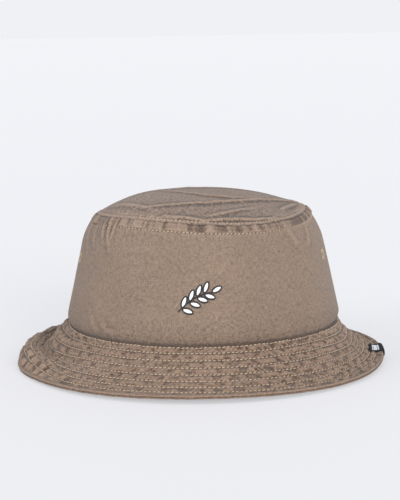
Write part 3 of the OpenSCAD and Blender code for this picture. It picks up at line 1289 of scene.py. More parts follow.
@dataclass
class Brim:
    """Two layers of twill in two halves, a felt stiffener between them, and the rows through all three."""

    cols: int = 520
    bead_steps: int = 8
    upper_bead: tuple[float, float, float] = (0.0, 0.72 * MM, 0.75 * MM)
    lower_bead: tuple[float, float, float] = (0.75 * MM, -0.32 * MM, 0.62 * MM)
    edge_lift: float = 0.40 * MM
    skin_n: float = 1.1 * MM
    stiffener_n: float = 0.3 * MM
    felt_from: float = 0.03
    base_row_t: float = 0.97
    groove: float = 0.34 * MM
    undercut: float = 0.28 * MM
    wave_h: float = 0.35 * MM
    rib_h: float = 0.8 * MM
    pucker_h: float = 0.85 * MM
    crumple_h: float = 0.22 * MM
    fine_crumple_h: float = 0.15 * MM
    crease_h: float = 0.42 * MM
    nap_h: float = 0.05 * MM
    relief_limits: tuple[float, float] = (-0.35 * MM, 1.3 * MM)
    seam_gather: float = 0.35 * MM
    seam_groove: float = 0.55 * MM
    waves: Grain = Grain(21, 26, 3)
    rib_grain: Grain = Grain(9, 260, 2)
    roll_grain: Grain = Grain(13, 70, 10)
    pucker_grain: Grain = Grain(5, 230, 13)
    crumple_grain: Grain = Grain(16, 230, 18)
    fine_crumple_grain: Grain = Grain(15, 440, 36)
    crease_grain: Grain = Grain(17, 270, 16)
    nap: Grain = Grain(31, 700, 60)
    bead_grain: Grain = Grain(41, 330, 2)
    loose_right: Zone = Zone(-88, 22, 20)
    loose_left: Zone = Zone(88, 18, 20)
    loose_front: Zone = Zone(42, 14, 18)
    loose_back: Zone = Zone(180, 50, 25)
    ribbed_right: Zone = Zone(-80, 22, 20)
    ribbed_left: Zone = Zone(80, 14, 18)
    puckered_front: Zone = Zone(45, 18, 18)
    puckered_right: Zone = Zone(-85, 20, 20)
    pattern_turn: float = 0.789
    pattern_apex: float = 0.165
    seam_gap: float = 0.03
    # Strengths of painted light and shade in the brim's tone: its gain, a painted shade over the whole brim,
    # a painted shadow under each row, painted light and shade on the ribs, the rim's paleness (partly rubbed,
    # partly painted highlight), and painted shade in the edge groove and at the root.
    tone_gain: float = 0.72
    brim_painted_shade: float = 0.12
    roll_shade: float = 0.50
    rib_painted_light_and_shade: float = 0.26
    rim_wear_and_highlight: float = 0.35
    bead_wear_and_highlight: float = 0.3
    groove_shade: float = 1.1
    root_shade: float = 0.5
    cut: Cut = Cut((0.312, 0.126), 0.0162)
    felt_cut: Cut = Cut((0.330, 0.295), 0.0324, Held.FOLDED)
    ripples: Ripples = field(init=False)
    rows: list[Row] = field(init=False)
    degree: float = 2.05 * MM
    ridges: tuple[Crease, ...] = (
        Crease(
            ((-94, 0.97), (-84, 0.84), (-70, 0.74), (-64, 0.52), (-61.5, 0.22), (-60, 0.06)),
            1.5 * MM,
            4.2 * MM,
        ),
        Crease(((91, 0.95), (95, 0.72), (96, 0.50), (92, 0.22)), 1.0 * MM, 3.0 * MM),
        Crease(((38, 0.92), (33, 0.75), (24, 0.60)), 0.7 * MM, 2.6 * MM),
        Crease(((58, 0.85), (51, 0.62), (47, 0.45)), 0.8 * MM, 2.8 * MM),
        Crease(((150, 0.9), (158, 0.6), (160, 0.2)), 1.0 * MM, 4.5 * MM),
        Crease(((-150, 0.85), (-143, 0.55), (-146, 0.2)), 0.9 * MM, 4.0 * MM),
    )

    def __post_init__(self) -> None:
        """Lets the cloth buckle and lays out the rows."""
        self.ripples = Ripples()
        self.rows = [Row(Face.BRIM, i / (FORM.brim_rows + 1)) for i in range(1, FORM.brim_rows + 1)]

    def folds(self, t: Array, a: Array) -> Array:
        """Folds that all the brim's layers share.

        Args:
            t: Places across the brim.
            a: Directions in degrees.

        Returns:
            Their lift in metres.
        """
        t, a = np.broadcast_arrays(t, a)
        lift = self.wave_h * self.waves.at(a, t) * np.sin(np.pi * np.clip(t, 0, 1))
        lift = lift + self.edge_lift * np.exp(-((np.maximum(t, 0) * FORM.run(Face.BRIM) / (5 * MM)) ** 2))
        for ridge in self.ridges:
            lift = lift + ridge.lift(turned(a), t, (self.degree, FORM.run(Face.BRIM)))
        return lift

    def slack(self, a: Array) -> Array:
        """How strongly the cloth ripples, by direction: calm at the front, loose at the sides."""
        sides = self.loose_right.at(a) + self.loose_left.at(a)
        return 0.6 + 0.7 * sides + 0.5 * self.loose_front.at(a) + 0.4 * self.loose_back.at(a)

    def ribs(self, t: Array, a: Array) -> Array:
        """Short ribs near the edge at both sides, square to it, from -1 to 1."""
        zone = (self.ribbed_right.at(a) + 0.7 * self.ribbed_left.at(a)) * dip(t - 0.12, 0.16)
        return zone * np.clip(2.2 * self.rib_grain.at(a, t), -1, 1)

    def rolled(self, t: Array, a: Array) -> Array:
        """How far the cloth rolls under just below each row, from 0 to 1.4."""
        share = np.clip(0.6 + 0.8 * self.roll_grain.at(a, t), 0, 1.4)
        return share * sum(dip((t - row.t) * FORM.run(Face.BRIM) + 0.85 * MM, 0.55 * MM) for row in self.rows)

    def detail(self, t: Array, a: Array) -> Array:
        """Ripples, slanting puckers and the grooves of the rows, above the shared folds.

        Args:
            t: Places across the brim.
            a: Directions in degrees.

        Returns:
            Their lift in metres.
        """
        t, a = np.broadcast_arrays(t, a)
        loose = np.abs(np.sin(np.pi * (FORM.brim_rows + 1) * np.clip(t, 0, 1)))
        gathered = 0.3 + self.puckered_front.at(a) + 0.6 * self.puckered_right.at(a)
        puckers = self.pucker_h * gathered * (ridged(self.pucker_grain.at(a + 22.0 * t, t), 1.9) - 0.25)
        ribs = self.rib_h * self.ribs(t, a)
        crumpled = self.crumple_h * self.crumple_grain.at(a - 4.0 * t, t)
        crumpled = crumpled + self.fine_crumple_h * self.fine_crumple_grain.at(a, t)
        creased = self.crease_h * (ridged(self.crease_grain.at(a - 9.0 * t, t), 2.2) - 0.2)
        lift = self.ripples.at(t, a) * self.slack(a) + (puckers + ribs) * loose
        lift = lift + (crumpled + creased) * np.sqrt(loose)
        lift = np.clip(lift, *self.relief_limits) - self.undercut * self.rolled(t, a)
        for row in self.rows:
            lift = lift - row.sunk(t, a, self.groove)
        seam = off_seam(a) * self.degree
        lift = lift + self.seam_gather * np.exp(-((seam / (4.5 * MM)) ** 4))
        lift = lift - self.seam_groove * dip(seam, 0.6 * MM)
        return lift + self.nap_h * self.nap.at(a, t)

    def upper(self, t: Array, a: Array) -> Array:
        """Lift of the top side above the brim's middle."""
        return self.folds(t, a) + self.skin_n + self.detail(t, a)

    def lower(self, t: Array, a: Array) -> Array:
        """Lift of the underside, which is below the brim's middle."""
        return self.folds(t, a) - self.skin_n - 0.7 * self.detail(t, -np.asarray(a) + 180.0)

    def stations(self) -> Array:
        """Places across the flat of the brim, closest together at the rows.

        Returns:
            The places, from just inside the edge to 1.
        """
        steps = FORM.brim_rows + 1
        inside = np.array([0.0, 0.05, 0.11, 0.22, 0.38, 0.55, 0.72, 0.86, 0.95])
        places = (np.arange(steps)[:, None] + inside).ravel() / steps
        return np.append(places[1:], 1.0)

    def profile(self, bead: tuple[float, float, float], side: float) -> tuple[Array, Array, Array]:
        """The section of one layer, from the edge's groove round its bead and up the flat.

        Args:
            bead: The bead's distance outside the edge, its height and its radius.
            side: 1 for the upper layer, -1 for the lower one.

        Returns:
            Places across, lift of the bead's part, and how much each follows the flat's lift.
        """
        out, high, radius = bead
        turn = np.linspace(-90, 90, self.bead_steps)
        run = FORM.run(Face.BRIM)
        flat = self.stations()
        across = np.concatenate([-(out + radius * cos_d(turn)), flat * run])
        swell = (abs(high) + radius - self.skin_n) * np.exp(-((flat * run / (1.9 * MM)) ** 2))
        lift = np.concatenate([high + side * radius * sin_d(turn), side * (self.skin_n + swell)])
        follow = np.concatenate([np.zeros(self.bead_steps), 1 - np.exp(-((flat * run / (1.6 * MM)) ** 2))])
        return across / run, lift, follow

    def layer(self, node: str, half: Half, side: float) -> bpy.types.Object:
        """Builds one half of one layer.

        Args:
            node: The frame's node that it stands for.
            half: Front or back.
            side: 1 for the upper layer, -1 for the lower one.

        Returns:
            The piece.
        """
        a = half.columns(self.cols, self.seam_gap)
        bead = self.upper_bead if side > 0 else self.lower_bead
        t, base, follow = self.profile(bead, side)
        flat = np.clip(t, 0.0, 1.0)[None, :]
        whole = self.upper(flat, a) if side > 0 else self.lower(flat, a)
        detail = (whole - self.folds(flat, a) - side * self.skin_n) * follow
        uneven = 0.12 * MM * self.bead_grain.at(a, flat) * (1 - follow)
        n = base + self.folds(flat, a) + detail + uneven
        thin = np.where(t < 0, np.minimum(FORM.cloth_t, 0.7 * bead[2]), FORM.cloth_t)
        shown = FORM.skin(Face.BRIM, t[None, :], a, n)
        hidden = FORM.skin(Face.BRIM, np.where(t < 0, t * 0.4, t)[None, :], a, n - side * thin)
        # Painted shade: the whole brim is drawn darker, a painted shadow runs just below each row, and the
        # ribs get painted light on their crests and painted shade between them.
        tone = relief_tone(side * (detail + uneven), self.tone_gain) - self.brim_painted_shade
        tone = tone - follow * (self.roll_shade * self.rolled(flat, a) - self.rib_painted_light_and_shade * self.ribs(flat, a))
        tone = np.clip(tone + self.rim_tone(t), 0, 1)
        level = np.full(tone.shape, 0.5)
        rho = self.pattern_apex - t * FORM.run(Face.BRIM)
        fan = self.pattern_turn * np.radians(a - half.value)
        uv = np.stack([rho * np.sin(fan), rho * np.cos(fan)], -1)
        upper = ClothGrid(shown, hidden, uv, tone, level)
        lower = ClothGrid(hidden, shown, uv, level, tone)
        piece = (upper if side > 0 else lower).build(node + "_cloth")
        return dress(piece, CRUMPLED_TWILL.material(), [node])

    def rim_tone(self, t: Array) -> Array:
        """How pale the rim and the bead's crest are, partly rubbed pale and partly painted highlight, and how
        dark the painted shade in the groove at the edge and at the root of the brim is.

        Args:
            t: Places across a layer, from its bead's groove up, as profile gives them.

        Returns:
            What to add to the relief's tone at each place.
        """
        turn = np.concatenate([np.linspace(0, 1, self.bead_steps), np.ones(len(t) - self.bead_steps)])
        # Pale rim and bead crest: partly rubbed pale, partly painted highlight; painted shade in the edge's
        # groove and at the brim's root.
        pale_wear_and_light = self.rim_wear_and_highlight * dip(t * FORM.run(Face.BRIM), 1.2 * MM) + self.bead_wear_and_highlight * np.sin(np.pi * turn)
        root = self.root_shade * dip((1 - t) * FORM.run(Face.BRIM), 1.3 * MM)
        return pale_wear_and_light - self.groove_shade * (1 - turn) ** 2.5 - root

    def felt(self) -> None:
        """Builds the stiffener between the layers."""
        a = np.linspace(-180, 180, 240, endpoint=False)[:, None]
        t = np.linspace(self.felt_from, 1.0, 30)[None, :]
        n = self.folds(t, a)
        rim = np.sqrt(np.clip(np.minimum(t - self.felt_from, 1.0 - t) * 25 + 0.3, 0, 1)) * self.stiffener_n
        outer, inner = (FORM.skin(Face.BRIM, t, a, n + sign * rim) for sign in (1, -1))
        uv = np.stack(np.broadcast_arrays(np.radians(a) * 0.12, t * FORM.run(Face.BRIM)), -1)
        grid = ClothGrid(outer, inner, uv, np.full(uv.shape[:2], 0.5), closed=True)
        felt = dress(grid.build("brim_felt"), STIFF_FELT.material(), ["brim_stiffener"])
        self.felt_cut.declare(felt)

    def build(self) -> None:
        """Builds the layers, the stiffener and the rows of stitching."""
        threads = [
            sew(
                f"brim_thread_{i}",
                f"brim_stitch_row_{i}",
                [row.stitches(self.upper, 1.0, i), row.stitches(self.lower, -1.0, 20 + i)],
                SEWING_THREAD,
            )
            for i, row in enumerate(self.rows, 1)
        ]
        seam = Row(Face.BRIM, self.base_row_t)
        runs = [seam.stitches(self.upper, 1.0, 40)]
        threads.append(sew("base_seam_thread", "base_seam_stitch", runs, SEWING_THREAD))
        self.felt()
        for half in Half:
            word = half.name.lower()
            upper = self.layer(f"brim_upper_{word}", half, 1.0)
            lower = self.layer(f"brim_lower_{word}", half, -1.0)
            self.cut.declare(upper, threads if half is Half.FRONT else ())
            self.cut.declare(lower)


# --- Crown ---


@dataclass
class Crown:
    """The wall's two halves and the top panel, joined by a turned seam with stitching on both sides."""

    wall_cols: int = 480
    top_cells: int = 210
    lower_row_h: float = 72.2 * MM
    upper_row_t: float = 0.04
    hole_r: float = 1.85 * MM
    eyelet_angles: tuple[float, ...] = (-105.0, -75.0, 75.0, 105.0)
    eyelet_z: float = 77.0 * MM
    base_h: float = -1.8
    band_step: float = 1.2 * MM
    gather_h: float = 0.42 * MM
    foot_h: float = 0.35 * MM
    top_groove: float = 0.35 * MM
    row_grooves: tuple[float, float] = (0.34 * MM, 0.32 * MM)
    hollow_h: float = -0.9 * MM
    bulge_h: float = 0.7 * MM
    wave_h: float = 0.45 * MM
    degree: float = 1.6 * MM
    waves: Grain = Grain(51, 11, 3)
    unevenness: Grain = Grain(53, 60, 9)
    nap: Grain = Grain(54, 420, 60)
    gathers: Grain = Grain(55, 130, 2)
    band_blocks: Grain = Grain(57, 150, 3)
    band_nap: Grain = Grain(58, 380, 8)
    foot_gathers: Grain = Grain(59, 120, 2)
    top_waves: Grain = Grain(61, 9, 3)
    top_nap: Grain = Grain(62, 300, 40)
    top_gathers: Grain = Grain(63, 140, 3)
    drawn_right: Zone = Zone(-60, 25, 18)
    foot_right: Zone = Zone(-48, 10, 14)
    foot_left: Zone = Zone(70, 20, 20)
    shadowed_band: Zone = Zone(35, 25, 20)
    pattern_turn: float = 0.215
    pattern_apex: float = 0.452
    seam_gap: float = 0.04
    # Strength of the painted shade at the wall's foot, and the gain of the top's relief tone, which paints
    # light on crease ridges and shade beside them.
    foot_shade: float = 0.5
    top_tone_gain: float = 3.0
    wall_cut: Cut = Cut((0.305, 0.101), 0.0228, rests_on=("brim_upper_front",))
    top_cut: Cut = Cut((0.152, 0.159), 0.0187, rests_on=("crown_front_panel", "crown_back_panel"))
    rows: tuple[Row, Row] = field(init=False)
    wall_creases: tuple[Crease, ...] = (
        Crease(((-56.5, 104), (-54.5, 99), (-52, 92)), 1.2 * MM, 2.0 * MM),
        Crease(((-51.5, 104.5), (-49.5, 98), (-46, 88)), 1.12 * MM, 2.1 * MM),
        Crease(((-46.5, 104), (-46, 99), (-45.5, 93)), 0.8 * MM, 1.8 * MM),
        Crease(((-64, 103), (-62, 97), (-60, 89)), 0.96 * MM, 2.1 * MM),
        Crease(((-72, 103), (-70, 94), (-66, 84)), 0.8 * MM, 2.5 * MM),
        Crease(((-33, 103), (-31, 98)), 0.64 * MM, 2.0 * MM),
        Crease(((48, 104), (50, 97), (53, 88)), 0.8 * MM, 2.7 * MM),
        Crease(((66, 103), (64, 96), (60, 86)), 0.8 * MM, 2.7 * MM),
        Crease(((140, 104), (145, 95), (152, 84)), 1.12 * MM, 3.3 * MM),
        Crease(((-140, 104), (-146, 94), (-150, 80)), 1.12 * MM, 3.6 * MM),
        Crease(((172, 104), (170, 96), (166, 86)), 0.8 * MM, 2.7 * MM),
        Crease(((-44, 41), (-41, 36), (-36, 33)), 0.32 * MM, 2.4 * MM),
        Crease(((-52, 44), (-49, 37), (-46, 33)), 0.32 * MM, 2.4 * MM),
    )
    top_creases: tuple[Crease, ...] = (
        Crease(
            ((-36, -49), (-14, -49), (-3, -46), (4, -45), (15, -38), (26, -30), (43, -15), (63, 6), (66, 14)),
            1.5 * MM,
            2.3 * MM,
        ),
        Crease(((-28, 8), (-12, -8), (3.5, -22), (22, -22), (43, -15)), 1.33 * MM, 2.2 * MM),
        Crease(((-22, -67), (5, -73), (20, -67), (37, -60), (58, -46)), 1.19 * MM, 1.7 * MM),
        Crease(((7, -67), (20, -56), (36.5, -40)), 0.7 * MM, 2.0 * MM),
        Crease(((-62, -16), (-45, -38), (-30, -56)), 0.56 * MM, 2.6 * MM),
        Crease(((-40, 40), (-8, 30), (30, 38), (52, 30)), 1.12 * MM, 3.0 * MM),
        Crease(((-55, 12), (-30, 22), (-8, 30)), 0.84 * MM, 3.0 * MM),
        Crease(((-10, 62), (22, 54), (44, 50)), 0.84 * MM, 2.4 * MM),
        Crease(((56, -28), (62, -14), (66, 0)), 0.98 * MM, 1.8 * MM),
    )

    def __post_init__(self) -> None:
        """Lays out the two rows beside the top seam."""
        self.rows = (
            Row(Face.WALL, self.lower_row_h / FORM.crown_h, 2.7 * MM, 0.14 * MM),
            Row(Face.TOP, self.upper_row_t, 2.7 * MM, 0.12 * MM),
        )

    def folds(self, t: Array, a: Array) -> Array:
        """The wall's slow, soft shape, which everything inside it shares.

        Args:
            t: Places up the wall.
            a: Directions in degrees.

        Returns:
            Its lift in metres.
        """
        t, a = np.broadcast_arrays(t, a)
        z = FORM.seam_z + t * FORM.crown_h
        across = turned(a) * self.degree
        loose = np.clip(np.sin(np.pi * np.clip(t, 0, 1)), 0, 1)
        slanted = (across + 42 * MM) * 0.86 - (z - 61 * MM) * 0.5
        along = (across + 42 * MM) * 0.5 + (z - 61 * MM) * 0.86
        hollow = self.hollow_h * dip(slanted, 12 * MM) * dip(along, 20 * MM)
        bulge = self.bulge_h * dip(across - 29 * MM, 26 * MM) * dip(z - 74 * MM, 17 * MM)
        return hollow + bulge + self.wave_h * self.waves.at(a, t) * loose

    def wall(self, t: Array, a: Array) -> Array:
        """Lift of the wall's outer side, with its creases, puckers and seams.

        Args:
            t: Places up the wall.
            a: Directions in degrees.

        Returns:
            The lift in metres.
        """
        t, a = np.broadcast_arrays(t, a)
        h = t * FORM.crown_h
        z = (FORM.seam_z + h) / MM
        lift = self.folds(t, a) + 0.10 * MM * self.unevenness.at(a, t) + 0.03 * MM * self.nap.at(a, t)
        for crease in self.wall_creases:
            lift = lift + crease.lift(turned(a), z, (1.5 * MM, MM))
        below = np.maximum(0.0, self.lower_row_h - h)
        gathers = ridged(self.gathers.at(a, t)) * np.exp(-below / (5.5 * MM))
        lift = lift + self.gather_h * gathers * (0.45 + 0.75 * self.drawn_right.at(a))
        blocks = 0.25 * MM + 0.75 * MM * self.band_blocks.at(a + 2.0 * t, t)
        lift = lift + self.in_band(h) * (blocks + 0.2 * MM * self.band_nap.at(a, t))
        lift = lift - self.top_groove * dip(FORM.crown_h - h, 0.8 * MM)
        lift = lift - self.rows[0].sunk(t, a, self.row_grooves[0])
        foot = ridged(self.foot_gathers.at(a, t), 1.3) * np.exp(-h / (5.0 * MM))
        drawn = 0.35 + 0.5 * self.foot_right.at(a) + 0.3 * self.foot_left.at(a)
        lift = lift + self.foot_h * foot * drawn
        seam = off_seam(a) * self.degree
        return lift + 0.3 * MM * np.exp(-((seam / (5 * MM)) ** 4)) - 0.5 * MM * dip(seam, 0.55 * MM)

    def in_band(self, h: Array) -> Array:
        """1 in the narrow band above the lower row of stitching, 0 below it."""
        return np.clip((h - self.lower_row_h) / self.band_step, 0, 1)

    def top(self, t: Array, a: Array) -> Array:
        """Lift of the top panel, with its creases and its seam.

        Args:
            t: Places from the seam to the middle.
            a: Directions in degrees.

        Returns:
            The lift in metres.
        """
        t, a = np.broadcast_arrays(t, a)
        r = 1.0 - t
        x = FORM.top_half_w * r * sin_d(a)
        y = -(FORM.top_half_w + FORM.top_extra_d) * r * cos_d(a)
        lift = 0.25 * MM * self.top_waves.at(a, t) * np.minimum(1, 2 * r)
        lift = lift + 0.04 * MM * self.top_nap.at(a, t)
        for crease in self.top_creases:
            lift = lift + crease.lift(x / MM, y / MM)
        inside = t * FORM.top_half_w
        gathers = (ridged(self.top_gathers.at(a, t)) - 0.2) * np.exp(-inside / (4.0 * MM))
        band = np.clip((self.upper_row_t * FORM.top_half_w - inside) / (1.0 * MM), 0, 1)
        lift = lift + 0.35 * MM * gathers + band * (0.25 * MM + 0.25 * MM * self.band_blocks.at(a, t))
        lift = lift - self.top_groove * dip(inside, 0.8 * MM)
        return lift - self.rows[1].sunk(t, a, self.row_grooves[1])

    def half(self, half: Half) -> bpy.types.Object:
        """Builds one half of the wall, with its holes.

        Args:
            half: Front or back.

        Returns:
            The piece.
        """
        a = half.columns(self.wall_cols, self.seam_gap)
        stretches = ((self.base_h, 7, 14), (8, 62, 50), (62.6, 77.4, 36))
        heights = np.concatenate([np.linspace(*stretch) for stretch in stretches])
        t = (heights * MM / FORM.crown_h)[None, :]
        lift = self.wall(t, a)
        outer = FORM.skin(Face.WALL, t, a, lift)
        inner = FORM.skin(Face.WALL, t, a, lift - FORM.cloth_t)
        middle = (outer[:-1, :-1] + outer[1:, 1:]) / 2
        holes = np.zeros(middle.shape[:2], bool)
        for angle in self.eyelet_angles:
            place = self.on_wall(angle, self.eyelet_z)
            holes |= np.linalg.norm(middle - place, axis=-1) < self.hole_r
        rho = self.pattern_apex - t * FORM.run(Face.WALL)
        fan = self.pattern_turn * np.radians(a - half.value)
        uv = np.stack([rho * np.sin(fan), self.pattern_apex - rho * np.cos(fan)], -1)
        h = t * FORM.crown_h
        # Painted shade: darker at the wall's foot, where it meets the brim, and in the band between the
        # seam's rows, less under its raised blocks and more in the shadowed stretch.
        foot = 1.15 * dip(h, 1.3 * MM) + 0.32 * dip(h, 13 * MM)
        band_painted_shade = 0.12 + 0.12 * self.shadowed_band.at(a) - 0.30 * self.band_blocks.at(a + 2.0 * t, t)
        tone = np.clip(relief_tone(lift) - self.foot_shade * foot - self.in_band(h) * band_painted_shade, 0, 1)
        word = half.name.lower()
        piece = ClothGrid(outer, inner, uv, tone, holes=holes).build(f"{word}_wall_cloth")
        return dress(piece, WASHED_TWILL.material(), [f"crown_{word}_panel"])

    def on_wall(self, a: float, z: float, n: float = 0.0) -> Array:
        """A point on the wall's outer side, at a direction and a height."""
        t = np.array((z - FORM.seam_z) / FORM.crown_h)
        return FORM.skin(Face.WALL, t, np.array(a), self.wall(t, np.array(a)) + n)

    def panel(self) -> bpy.types.Object:
        """Builds the top panel on a square grid that is drawn out to an oval.

        Returns:
            The piece.
        """
        line = np.linspace(-1, 1, self.top_cells)
        x, y = np.meshgrid(line, line, indexing="ij")
        big = np.where(np.abs(x) > np.abs(y), x, y)
        small = np.where(np.abs(x) > np.abs(y), y, x)
        ratio = np.divide(small, big, out=np.zeros_like(big), where=big != 0) * np.pi / 4
        east, north = big * np.cos(ratio), big * np.sin(ratio)
        px = np.where(np.abs(x) > np.abs(y), east, north)
        py = np.where(np.abs(x) > np.abs(y), north, east)
        t = np.clip(1.0 - np.hypot(px, py), 0.0, 0.9999)
        a = np.degrees(np.arctan2(px, -py))
        lift = self.top(t, a)
        outer = FORM.skin(Face.TOP, t, a, lift)
        inner = FORM.skin(Face.TOP, t, a, lift - FORM.cloth_t)
        # The creases' ridges go paler and their sides darker: partly faded dye, partly painted light and
        # painted shade.
        tone = relief_tone(lift, self.top_tone_gain)
        piece = ClothGrid(outer, inner, outer[..., :2], tone).build("top_panel_cloth")
        return dress(piece, FADED_TWILL.material(), ["crown_top_panel"])

    def build(self) -> None:
        """Builds the panels and the two rows of stitching at the top seam."""
        lower, upper = self.rows
        runs = {"upper": upper.stitches(self.top, 1.0, 61), "lower": lower.stitches(self.wall, 1.0, 62)}
        rows = [
            sew(f"top_seam_thread_{word}", f"top_seam_stitch_{word}", [run], SEWING_THREAD)
            for word, run in runs.items()
        ]
        for half in Half:
            self.wall_cut.declare(self.half(half), rows[1:] if half is Half.FRONT else ())
        self.top_cut.declare(self.panel(), rows[:1])


# --- Lining ---


@dataclass
class Lining:
    """Inside the crown: the sweatband and the tapes over the seams."""

    crown: Crown
    band_h: float = 33.0 * MM
    band_n: float = -1.60 * MM
    tape_n: float = -0.82 * MM
    side_tape_n: float = -0.98 * MM
    tape_t: float = 0.5 * MM
    top_tape: tuple[float, float] = (66.4 * MM, 75.4 * MM)
    side_tape: tuple[float, float] = (3.0 * MM, 65.9 * MM)
    side_tape_half: float = 3.0
    inner_r: float = 92.0 * MM
    pucker_h: float = 0.10 * MM
    puckering: Grain = Grain(71, 150, 3)
    band_cut: Cut = Cut((0.590, 0.033), rests_on=("crown_front_panel", "crown_back_panel"))
    top_tape_cut: Cut = Cut((0.520, 0.0105), held=Held.FOLDED, rests_on=("crown_front_panel",))
    side_tape_cut: Cut = Cut((0.0104, 0.064), held=Held.FOLDED, rests_on=("crown_front_panel",))

    def strip(
        self,
        name: str,
        a: Array,
        h: Array,
        n: float,
        thick: float,
        rounded: tuple[Array, Array],
        closed: bool,
    ) -> bpy.types.Object:
        """Builds a strip of cloth on the inside of the wall.

        Args:
            name: The piece's name.
            a: Directions of its columns.
            h: Heights of its rows.
            n: Lift of its outer side.
            thick: Its thickness.
            rounded: How thick it is across its columns and across its rows, from 0 to 1.
            closed: Whether it goes all round.

        Returns:
            The piece, without its finish.
        """
        a, t = a[:, None], (h / FORM.crown_h)[None, :]
        base = self.crown.folds(t, a)
        body = rounded[0][:, None] * rounded[1][None, :]
        puckers = self.pucker_h * self.puckering.at(a, t) * body
        outer = FORM.skin(Face.WALL, t, a, base + n)
        inner = FORM.skin(Face.WALL, t, a, base + n - thick * (0.35 + 0.65 * body) - np.abs(puckers))
        uv = np.stack(np.broadcast_arrays(np.radians(a) * self.inner_r, h[None, :]), -1)
        level = np.full(uv.shape[:2], 0.5)
        # Tone of the puckers on the inner side: paler ridges, darker hollows, partly painted light and
        # painted shade.
        under = relief_tone(-puckers - body * 0.1 * MM)
        return ClothGrid(outer, inner, uv, level, under, closed).build(name)

    def band(self) -> bpy.types.Object:
        """Builds the sweatband, with a turned top edge that is stitched down.

        Returns:
            The piece, without its finish.
        """
        a = np.linspace(-180, 180, 720, endpoint=False)
        h = np.concatenate([np.linspace(0, 28, 24), np.linspace(28.6, 33, 14)]) * MM
        from_top = (self.band_h - h) / MM
        fold = np.where(from_top < 0.5, np.sqrt(np.clip(from_top / 0.5, 0, 1)), 1.0)
        hem = 0.35 * np.exp(-(((from_top - 2.5) / 2.5) ** 4)) - 0.25 * dip(from_top - 1.0, 0.5)
        across = fold * (1.0 + hem)
        return self.strip("sweatband_cloth", a, h, self.band_n, FORM.cloth_t, (np.ones_like(a), across), True)

    def tape(self, name: str, a: Array, h: Array, n: float, closed: bool) -> bpy.types.Object:
        """Builds a tape whose long edges are folded under.

        Args:
            name: The piece's name.
            a: Directions of its columns.
            h: Heights of its rows.
            n: Lift of its outer side.
            closed: Whether it goes all round.

        Returns:
            The piece.
        """

        def edges(x: Array) -> Array:
            """Rounded at both ends, with a line of stitching near each."""
            u = np.linspace(-1, 1, len(x))
            return np.sqrt(np.clip(1 - np.abs(u) ** 8, 0, 1)) - 0.35 * dip(np.abs(u) - 0.72, 0.07)

        across = (np.ones_like(a), edges(h)) if closed else (edges(a), np.ones_like(h))
        return self.strip(name, a, h, n, self.tape_t, across, closed)

    def band_inside(self, t: Array, a: Array) -> Array:
        """Lift of the sweatband's inner side."""
        return self.crown.folds(t, a) + self.band_n - FORM.cloth_t

    def build(self) -> None:
        """Builds the sweatband, its stitching and the tapes."""
        band = dress(self.band(), LINING_TWILL.material(), ["sweatband"])
        row = Row(Face.WALL, (self.band_h - 1.0 * MM) / FORM.crown_h)
        runs = [row.stitches(self.band_inside, -1.0, 70)]
        thread = sew("sweatband_thread", "sweatband_stitch", runs, SEWING_THREAD)
        self.band_cut.declare(band, [thread])
        around = np.linspace(-180, 180, 480, endpoint=False)
        top = self.tape("top_seam_tape", around, np.linspace(*self.top_tape, 29), self.tape_n, True)
        self.top_tape_cut.declare(dress(top, SEAM_TAPE.material(), ["top_seam_binding"]))
        for word, middle in (("left", 90.0), ("right", -90.0)):
            a = np.linspace(middle - self.side_tape_half, middle + self.side_tape_half, 29)
            h = np.linspace(*self.side_tape, 90)
            tape = self.tape(f"side_seam_tape_{word}", a, h, self.side_tape_n, False)
            dress(tape, SEAM_TAPE.material(), [f"side_seam_binding_{word}"])
            self.side_tape_cut.declare(tape)


# --- Eyelets and embroidery ---


@dataclass
class Eyelets:
    """Four ventilation holes, bound all round with thread."""

    crown: Crown
    loops: int = 40
    hole_r: float = 1.75 * MM
    ring_r: float = 3.75 * MM
    thread: Thread = Thread(0.25 * MM, 6, 0.8)
    section: tuple[tuple[float, float], ...] = (
        (1.0, -0.25),
        (0.9, 0.22),
        (0.6, 0.40),
        (0.25, 0.36),
        (0.02, 0.05),
        (-0.05, -0.40),
        (0.05, -0.85),
        (0.3, -1.10),
        (0.6, -1.12),
        (0.85, -1.0),
        (0.95, -0.6),
    )

    def bind(self, node: str, angle: float, seed: int) -> None:
        """Binds one hole.

        Args:
            node: The frame's node that it stands for.
            angle: The hole's direction in degrees.
            seed: Seed of the unevenness.
        """
        rng = np.random.default_rng(seed)
        t = np.array((self.crown.eyelet_z - FORM.seam_z) / FORM.crown_h)
        centre = self.crown.on_wall(angle, self.crown.eyelet_z)
        out = FORM.outward(Face.WALL, t, np.array(angle))
        right = np.cross((0.0, 0.0, 1.0), out)
        right /= np.linalg.norm(right)
        up = np.cross(out, right)
        turn = (np.arange(self.loops) + rng.normal(0, 0.12, self.loops)) * 2 * np.pi / self.loops
        spoke = np.cos(turn)[:, None] * right + np.sin(turn)[:, None] * up
        reach = self.ring_r - self.hole_r + rng.normal(0, 0.12, self.loops) * MM
        section = np.array(self.section)
        r = self.hole_r + section[:, 0][None, :] * reach[:, None]
        paths = centre + spoke[:, None, :] * r[..., None] + out * (section[:, 1] * MM)[None, :, None]
        sideways = np.cross(out, spoke)
        piece = self.thread.build(node + "_thread", paths, np.cross(spoke, sideways) + 0.01 * spoke)
        dress(piece, EYELET_THREAD.material(), [node])

    def build(self) -> None:
        """Binds all four holes."""
        names = ("eyelet_back_right", "eyelet_front_right", "eyelet_front_left", "eyelet_back_left")
        for seed, (node, angle) in enumerate(zip(names, self.crown.eyelet_angles)):
            self.bind(node, angle, seed)


